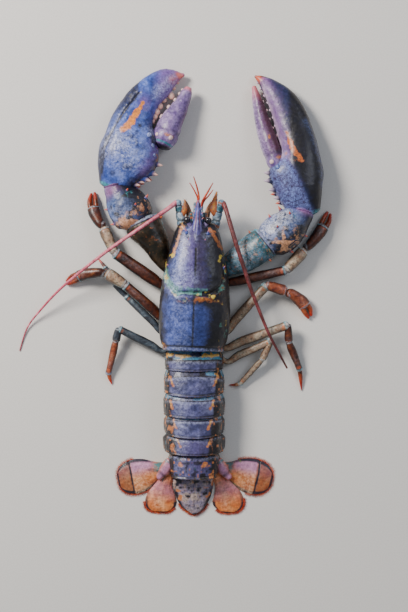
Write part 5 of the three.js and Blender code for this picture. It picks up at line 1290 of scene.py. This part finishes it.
def tailRing(row, index, steps=80, archCount=151, plateCount=15):
    front, rear, wideFront, wideRear, topFront, topRear, bowFront, bowRear, flareOut = row
    t = np.linspace(0, 1, steps + 1)
    y0 = lerp(front + 2.2, rear - 0.35, t)
    flare = np.interp(t, platePlaces, plateFlare)
    station = np.interp(t, platePlaces, np.linspace(0, 1, len(platePlaces)))
    foot = np.maximum(7 if index == 0 else 0, between(np.array(plateFoot)[:, None], station)[:, 0])
    reach = (np.interp(t, platePlaces, plateSpread) * flareOut)[:, None]
    halfWidth, top = lerp(wideFront, wideRear, t) + flare, lerp(topFront, topRear, t) + flare
    bow = lerp(bowFront, bowRear, t)
    a = np.linspace(0, math.pi, archCount)
    w, h, y, b = halfWidth[:, None], top[:, None], y0[:, None], bow[:, None]
    shoulder = lerp(bellyHeight, h, 0.25)
    archX = np.sign(np.cos(a)) * np.abs(np.cos(a)) ** 0.82 * w
    archZ = shoulder + np.sin(a) ** 0.88 * (h - shoulder)
    arch = np.stack([archX, y - b * np.sin(a) ** 2, archZ], -1)
    s = np.linspace(0, 1, plateCount + 1)[None]
    tipZ, low = foot[:, None], np.maximum(bellyHeight, foot[:, None] + 0.5)
    plate = np.stack([-(w + reach * np.sin(s * math.pi / 2)), y + 0 * s, lerp(shoulder, tipZ, s)], -1)[:, 1:]
    inside = w - plateThickness
    inner = np.stack([-lerp(inside + 0.8 * reach, inside - 1, s), y + 0 * s, lerp(tipZ, low, s)], -1)
    belly = np.stack([lerp(-(inside - 2), inside - 2, s), y + 0 * s, low - 1.2 * np.sin(s * math.pi)], -1)
    mirror = np.array([-1, 1, 1])
    grid = np.concatenate(
        [arch, plate, inner, belly, (inner * mirror)[:, ::-1], (plate * mirror)[:, ::-1]], 1,
    )
    grid = grid + np.array([tailX, 0, 0])
    count = grid.shape[1]
    degrees = np.full(count, 270.0)
    degrees[:archCount] = np.degrees(a)
    upper = (degrees < 181)[None]
    outerSide = np.zeros(count, bool)
    outerSide[: archCount + plateCount] = True
    outerSide[-plateCount:] = True
    side = outerSide & ~upper[0]
    tt = t[:, None]
    fromTop = np.abs(90 - degrees)[None] / 90 + 0 * tt
    narrowed = 1 - 0.35 * bump(fromTop, 0, 0.5) * (index == 1)
    facetEnd = facetEnds[index] * narrowed + 0.06 * ease(0.4, 0.9, fromTop)
    facet = 1 - ease(facetEnd - 0.05, facetEnd + 0.03, tt)
    ledge = bump(tt, facetEnd + 0.02, 0.03)
    lift = -0.5 * facet - 0.4 * ledge + 0.3 * bump(tt, 0.955, 0.022)
    lift = lift - 0.3 * bump(tt, 0.9, 0.02) - 1.2 * ease(0.985, 1, tt)
    lift = lift + lumpy(grid, (7, 11 + index, 0.3), (2.6, 20 + index, 0.16)) * (1 - 0.6 * facet)
    lift = lift + grainy(grid, 1.2, 30 + index, 0.13)
    shoulderFold = bump(fromTop, 0.78, 0.05) * bump(tt, 0.6, 0.25)
    lift = lift - 0.35 * shoulderFold
    if index == 5:
        ridges = bump(np.abs(grid[..., 0] - tailX), 5.5, 1.3)
        lift = lift + (0.5 * ridges - 0.3 * bump(grid[..., 0], tailX, 1.4)) * ease(0.1, 0.3, tt)
    grid = grid + gridNormals(grid) * (lift * outerSide[None])[..., None]
    x = grid[..., 0]
    patchy = valueNoise(grid, 5, 43 + index)
    flecks = valueNoise(grid, 2.2, 53 + index)
    start = farStarts[index]
    # far: the ring's dark sides, begun 1.5 mm further in on the right as painted shade
    far = ease(start, start + 2.5, np.abs(x) + 1.5 * (x > 0) + 0.8 * patchy) + 0 * tt
    warm = 0.6 * far * ease(-0.1, 0.4, flecks) + 0.3 * ease(0.4, 0.8, flecks)
    gold = 0.62 * bump(tt, 0.975, 0.014) * (np.abs(x) < 19)
    gold = gold + 0.6 * facet * (np.abs(x) > 6) * ease(0.2, 0.5, flecks)
    cool = 0.8 * facet * ease(-0.5, 0.1, patchy) + 0.45 * side[None] * ease(0, 0.6, -patchy)
    # dark: ledge and the line at 0.92 are painted shade in the step behind the front facet and in the crease
    # before the rear rim; far and side are the ring's own dark flanks
    dark = 0.82 * far + 0.7 * side[None] + 0.75 * ledge + 0.7 * bump(tt, 0.92, 0.02)
    # 0.22 * (x > 4) is painted shade over the right of the ring; the facet term is mottling
    dark = dark + 0.5 * facet * ease(-0.2, 0.3, -patchy) + 0.22 * (x > 4)
    light = 0.45 * bump(tt, facetEnd + 0.1, 0.06) + 0.5 * facet * (index in (2, 3))
    # a painted highlight on the upper left flank
    light = light + 0.3 * bump(fromTop, 0.3, 0.2) * (x < 0)
    if index == 0:
        gold = gold + 0.95 * bump(tt, 0.3, 0.1) * ease(-0.5, 0.2, patchy)
        dark = dark + 0.7 * bump(tt, 0.52, 0.09)
    if index in sideSpots:
        leftX, rightX, spotY, spotWidth = sideSpots[index]
        for spotX in (leftX, rightX):
            slant = 1.2 * np.sign(spotX)
            stripe = [(spotX + slant, spotY + 4), (spotX, spotY), (spotX - slant, spotY - 2)]
            core = [(spotX + slant, spotY + 3.6), (spotX, spotY)]
            warm = warm + 0.9 * streak(grid, stripe, spotWidth * 0.9) * upper
            gold = gold + 0.8 * streak(grid, core, spotWidth * 0.5) * upper
    if index == 5:
        for spotX in (-9.6, 8.4):
            warm = warm + 0.7 * spot(grid, spotX, -121.5, 3)
            warm = warm + 0.22 * ease(0.1, 0.5, flecks) * (np.abs(x) < 15)
        dark = dark + 0.6 * ease(0.1, 0.5, -flecks)
        cool = cool + 0.5 * ease(0.1, 0.5, patchy) * ease(0, 0.4, -flecks)
    marks = {
        # the inner faces and belly are darkened as painted shade
        "warm": warm, "gold": gold, "cool": cool, "dark": dark + 0.6 * (1 - outerSide[None]),
        "light": light * upper, "violet": 0.5 * bump(fromTop, 0.1, 0.3) * (index > 3),
    }
    startPole = grid[0].mean(0) + np.array([0, 0, 2])
    endPole = grid[-1].mean(0) + np.array([0, 1.2, 2])
    marks = {key: np.clip(values, 0, 1) for key, values in marks.items()}
    return partOf(grid, startPole, endPole, **marks)


plateRoots, plateWays = [], []
for index, row in enumerate(ringRows):
    parts = [tailRing(row, index)]
    if 0 < index < 5:
        y = lerp(row[0], row[1], 0.35)
        for way in (-1, 1):
            rows = [
                [tailX + way * 12, y, bellyHeight + 1.5, 2, 1.2], [tailX + way * 12.5, y - 2, 5.5, 2.4, 1],
                [tailX + way * 12, y - 5.5, 3, 3.4, 0.7], [tailX + way * 11, y - 9, 2.2, 1.4, 0.5],
            ]
            parts.append(loft(rows, 20, 24, endCap=0.6, marks=lambda t, degrees, grid: {"warm": 0.6}))
            for f in np.linspace(0.4, 0.88, 34):
                edge = row[2] + 0.6 * row[8]
                plateRoots.append([tailX + way * edge, lerp(row[0], row[1], f), 1.1])
                plateWays.append([way * 0.9, -0.5, -0.25])
    makePiece(f"abdomen_{index + 1}", parts, abdomenChitin)
plateTuft = {"length": 1.5, "radius": 0.06, "seed": 11, "spreadOut": 0.25}
growTufts("side_plate_bristles", plateRoots, plateWays, brownBristle, "abdomen_shell", **plateTuft)
print("tail rings made")


# Tail fan


def paddle(rows, look, suture=None, ridges=26, steps=110, rib=0.22):  # a flat blade of the tail fan
    t = np.linspace(0, 1, steps + 1)
    row = between(rows, t)
    ahead = between(rows, t + 0.03) - between(rows, t - 0.03)
    along = unit(np.stack([ahead[:, 0], ahead[:, 1], 0 * t], -1))
    side = np.cross(along, [0, 0, 1])
    f = np.sin(np.linspace(-1, 1, 81) * math.pi / 2)
    crown = np.interp(np.abs(f), [0, 0.22, 0.62, 0.9, 0.97, 1], [1, 1, 0.85, 0.5, 0.36, 0.2])[None]
    x, y, w, thick = row.T[:, :, None]
    w = np.maximum(w, 0.2)
    tt = t[:, None]
    middle = bump(f, 0, 0.12)[None]
    fine = np.cos(f * ridges * math.pi)[None] * ease(0.35, 0.7, tt) * ease(0.1, 0.3, np.abs(f))[None] * 0.1
    height = thick * crown + rib * middle * (1 - ease(0.5, 1, tt)) + fine
    place = np.stack([x + side[:, 0, None] * f * w, y + side[:, 1, None] * f * w], -1)
    flat = np.concatenate([place, 0 * place[..., :1]], -1)
    height = np.maximum(0.3, height + valueNoise(flat, 5, 31) * 0.16 * crown + grainy(flat, 1.2, 32, 0.12))
    cut = streak(flat, suture, 0.55) if suture else 0 * height
    height = height - 0.5 * cut
    top = np.concatenate([place, height[..., None]], -1)
    back = np.linspace(1, -1, 21)
    low = np.stack(
        [
            x + side[:, 0, None] * back * w * 0.97, y + side[:, 1, None] * back * w * 0.97,
            0.05 + 0 * back + 0 * x,
        ],
        -1,
    )
    grid = np.concatenate([top, low], 1)
    edge = np.maximum(ease(0.74, 0.9, np.abs(f))[None] + 0 * tt, ease(0.86, 0.96, tt)) * ease(0.12, 0.35, tt)
    patchy = valueNoise(flat, 5, 44)
    marks = look(tt, f[None], flat, edge, patchy, cut)
    for key, values in marks.items():
        values = np.clip(np.broadcast_to(values, height.shape), 0, 1)
        marks[key] = np.concatenate([values, np.zeros(low.shape[:2])], 1)
    return partOf(grid, grid[0].mean(0), grid[-1].mean(0), **marks)


def telsonLook(t, f, flat, edge, patchy, cut):
    front = 1 - ease(0.35, 0.65, t)
    flecks = valueNoise(flat, 2.2, 61)
    return {
        "cool": 0.6 * front * ease(-0.2, 0.3, patchy) * ease(-0.2, 0.4, flecks),
        "dark": 0.75 * edge + 0.55 * bump(f, 0, 0.06) * ease(0.3, 0.6, t)
            + 0.35 * front * ease(0, 0.4, -flecks) + 0.5 * ease(0.35, 0.6, -flecks),
        "light": 0.6 * ease(0.4, 0.7, t) * (1 - edge),
        "warm": 0.6 * front * ease(0.1, 0.5, flecks)
            + 0.5 * bump(np.abs(f), 0.8, 0.15) * ease(-0.2, 0.3, flecks)
            + 0.4 * ease(0.6, 0.8, t) * ease(0, 0.4, patchy),
    }


def exopodLook(t, f, flat, edge, patchy, cut):
    beyond = ease(-1, 1, np.abs(flat[..., 0]) - 45.5 - 0.18 * (flat[..., 1] + 135))
    high = ease(-5, 5, flat[..., 1] + 127.5 + 0.25 * (np.abs(flat[..., 0]) - 35))
    return {
        "violet": 0.85 * high * (1 - 0.7 * beyond) * ease(0.1, 0.3, t),
        "cool": 0.85 * bump(t, 0.12, 0.14) * ease(-0.6, 0.1, patchy)
            + 0.5 * beyond * high * ease(-0.2, 0.4, patchy),
        "gold": 0.55 * bump(t, 0.3, 0.1) * ease(-0.1, 0.4, -patchy),
        "dark": 0.95 * edge + 0.8 * cut + 0.4 * beyond
            + 0.5 * streak(flat, [(-33, -127), (-24, -128)], 1.2),
        "light": 0.75 * (1 - beyond) * bump(t, 0.5, 0.2) * (1 - high),
        "warm": 0.25 * (1 - beyond) * ease(0, 0.5, patchy),
    }


def endopodLook(t, f, flat, edge, patchy, cut):
    return {
        "dark": 0.9 * edge * ease(0.35, 0.7, t) + 0.5 * (1 - ease(0.02, 0.1, t)),
        "cool": 0.8 * (1 - ease(0.15, 0.4, t)) * ease(-0.6, 0.1, patchy),
        "gold": 0.5 * bump(t, 0.3, 0.12) * ease(0, 0.4, -patchy),
        "light": 0.6 * bump(t, 0.6, 0.2) * bump(f, 0.2, 0.3), "warm": 0.25 * bump(f, -0.3, 0.3),
        "violet": 0.4 * bump(t, 0.35, 0.15),
    }


telsonRows = [  # x, y, half width, thickness
    [-0.6, -131.9, 15.2, 8.6], [-0.6, -136.4, 15.3, 8], [-0.5, -142, 14.4, 7], [-0.4, -147.7, 12.9, 6],
    [-0.2, -152, 10.8, 5.2], [0, -155.8, 8, 4.4], [0, -158.6, 4.6, 3.6], [0, -160.4, 1.6, 3],
]
makePiece("telson", [paddle(telsonRows, telsonLook, ridges=12)], telsonChitin)
paddles = {
    "left": {
        "endopod": [
            [-16, -127, 2.8, 5], [-19.2, -132, 4.2, 4.4], [-22.2, -138, 6.4, 3.8],
            [-23.8, -144.6, 9.8, 3.2], [-24.8, -150.8, 11.8, 2.6], [-24.4, -155.2, 10.8, 2.2],
            [-24.2, -157.8, 7.4, 1.8], [-24.2, -158.8, 3.4, 1.6],
        ],
        "exopod": [
            [-19, -124.6, 3, 4.6], [-27, -127.2, 6.4, 4], [-35, -129.8, 11.2, 3.4],
            [-43, -132.2, 13.2, 2.9], [-50, -133.6, 12, 2.4], [-54.8, -134.4, 8.6, 2],
            [-57, -134.8, 4, 1.6],
        ],
        "suture": [(-49.8, -118), (-47.3, -128.5), (-44.5, -143.8), (-43.6, -148)],
    },
    "right": {
        "endopod": [
            [14.5, -127, 2.8, 5], [18, -132, 4.2, 4.4], [21.6, -138, 6.4, 3.8], [24.2, -144.8, 9.8, 3.2],
            [25.4, -150.8, 11.9, 2.6], [24.9, -155.2, 10.6, 2.2], [24.5, -158, 7.2, 1.8],
            [24.4, -159.3, 3.4, 1.6],
        ],
        "exopod": [
            [17.5, -124.6, 3, 4.6], [26, -127.2, 6.5, 4], [34.4, -129.6, 11.2, 3.4], [43, -132, 13.4, 2.9],
            [51, -134, 12.4, 2.4], [56, -135.2, 8.8, 2], [58.4, -135.8, 4, 1.6],
        ],
        "suture": [(49.9, -118), (48.5, -130), (45, -143.8), (44, -149)],
    },
}


def fringe(rows, first, last, count):  # two layers of bristles along a paddle's free edge
    row = between(rows, np.linspace(0, 1, 200))
    ahead = np.gradient(row[:, :2], axis=0)
    side = unit(np.stack([ahead[:, 1], -ahead[:, 0]], -1))
    w = np.maximum(row[:, 2:3], 0.3)
    outline = np.concatenate([row[:, :2] + side * w, (row[:, :2] - side * w)[::-1]])
    length = np.concatenate([[0], np.cumsum(np.linalg.norm(np.diff(outline, axis=0), axis=1))])
    at = np.linspace(first, last, count) * length[-1]
    points = np.stack([np.interp(at, length, outline[:, k]) for k in (0, 1)], -1)
    tangent = np.gradient(points, axis=0)
    out = unit(np.stack([-tangent[:, 1], tangent[:, 0]], -1))
    centre = row[100, :2]
    out = out * np.sign(np.sum(out * (points - centre), axis=1, keepdims=True))
    roots = [[*(p - o * 0.5), 0.5 + 0.35 * k] for k in (0, 1) for p, o in zip(points, out)]
    ways = [[*o, 0.06 * k] for k in (0, 1) for o in out]
    return roots, ways


fringeRoots, fringeWays = [], []
for name, pair in paddles.items():
    way = -1 if name == "left" else 1
    makePiece(f"uropod_{name}_endopod", [paddle(pair["endopod"], endopodLook)], fanChitin)
    protopod = loft(
        [
            [way * 17.5, -120.5, 5.5, 4.2, 3.2], [way * 21.5, -126.5, 5.4, 4.4, 3.2],
            [way * 26, -132, 4.8, 2.6, 2.2],
        ],
        32, 40, startCap=1.5, endCap=2, form=lambda t, degrees, grid: valueNoise(grid, 3, 33) * 0.3,
        marks=lambda t, degrees, grid: {
            "violet": 0.8 * facing(degrees, 90, 60), "cool": 0.7 * bump(t, 0.1, 0.2),
            "dark": 0.5 * bump(t, 0.75, 0.1),
        },
    )
    exopod = paddle(pair["exopod"], exopodLook, pair["suture"])
    makePiece(f"uropod_{name}_exopod", [exopod, protopod], fanChitin)
    for key, first, last in (
        ("endopod", 0.36, 0.68) if way < 0 else ("endopod", 0.34, 0.66), ("exopod", 0.26, 0.86),
    ):
        roots, ways = fringe(pair[key], first, last, count=330)
        fringeRoots += roots
        fringeWays += ways
roots, ways = fringe(telsonRows, 0.3, 0.7, count=300)
fringeRoots += roots
fringeWays += ways
fanTuft = {"length": 2.5, "radius": 0.07, "seed": 7, "spreadOut": 0.16}
growTufts("fan_bristles", fringeRoots, fringeWays, redBristle, "tail_fan_shell", **fanTuft)
print("tail fan made")


# Parts kept from the CAD model, under the body

for node in ("thorax", "maxilliped_left", "maxilliped_right"):
    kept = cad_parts[node]
    kept.data.materials.clear()
    kept.data.materials.append(bellyChitin)


# Floor, light and camera

floorMesh = bpy.data.meshes.new("floor")
reach = 2  # metres
corners = [(-reach, -reach, 0), (reach, -reach, 0), (reach, reach, 0), (-reach, reach, 0)]
floorMesh.from_pydata(corners, [], [(0, 1, 2, 3)])
floor = bpy.data.objects.new("floor", floorMesh)
bpy.context.scene.collection.objects.link(floor)
paper = bpy.data.materials.new("matte_board")
paper.use_nodes = True
paperTree = paper.node_tree
paperPlace = addNode(paperTree, "ShaderNodeTexCoord", output="Object")
paperFibre = addNode(paperTree, "ShaderNodeTexNoise", {"Vector": paperPlace, "Scale": 900, "Detail": 4})
paperTone = addRamp(paperTree, paperFibre, [(0.3, "#e6e4e0"), (0.7, "#eeece8")])
paperSurface = paperTree.nodes["Principled BSDF"].inputs
paperTree.links.new(paperTone, paperSurface["Base Color"])
paperSurface["Roughness"].default_value = 0.9
floorMesh.materials.append(paper)

world = bpy.data.worlds.new("studio")
world.use_nodes = True
sky = world.node_tree.nodes["Background"].inputs
sky["Color"].default_value = toLinear("#e8ecf2")
sky["Strength"].default_value = 0.3
bpy.context.scene.world = world


lamps = {  # metres and watts
    "window": {"place": (-0.75, 0.6, 0.8), "size": 0.42, "power": 21, "colour": "#fff8f0"},
    "fill": {"place": (0.8, 0.5, 0.9), "size": 0.6, "power": 3.4, "colour": "#eaf0ff"},
}
for name, lamp in lamps.items():
    light = bpy.data.lights.new(name, "AREA")
    light.shape = "DISK"
    light.size = lamp["size"]
    light.energy = lamp["power"]
    light.color = toLinear(lamp["colour"])[:3]
    holder = bpy.data.objects.new(name, light)
    bpy.context.scene.collection.objects.link(holder)
    x, y, z = lamp["place"]
    holder.location = lamp["place"]
    holder.rotation_euler = (math.acos(z / math.hypot(x, y, z)), 0, math.atan2(x, -y))  # aimed at the origin

viewDown = {"place": (0.0075, -0.0045, 1.2), "lens": 94.12, "sensor": 36, "near": 0.05, "far": 10}
cameraData = bpy.data.cameras.new("view_down")
cameraData.lens = viewDown["lens"]
cameraData.sensor_width = viewDown["sensor"]
cameraData.sensor_fit = "AUTO"
cameraData.clip_start = viewDown["near"]
cameraData.clip_end = viewDown["far"]
camera = bpy.data.objects.new("view_down", cameraData)
camera.location = viewDown["place"]
bpy.context.scene.collection.objects.link(camera)
bpy.context.scene.camera = camera
bpy.context.view_layer.update()
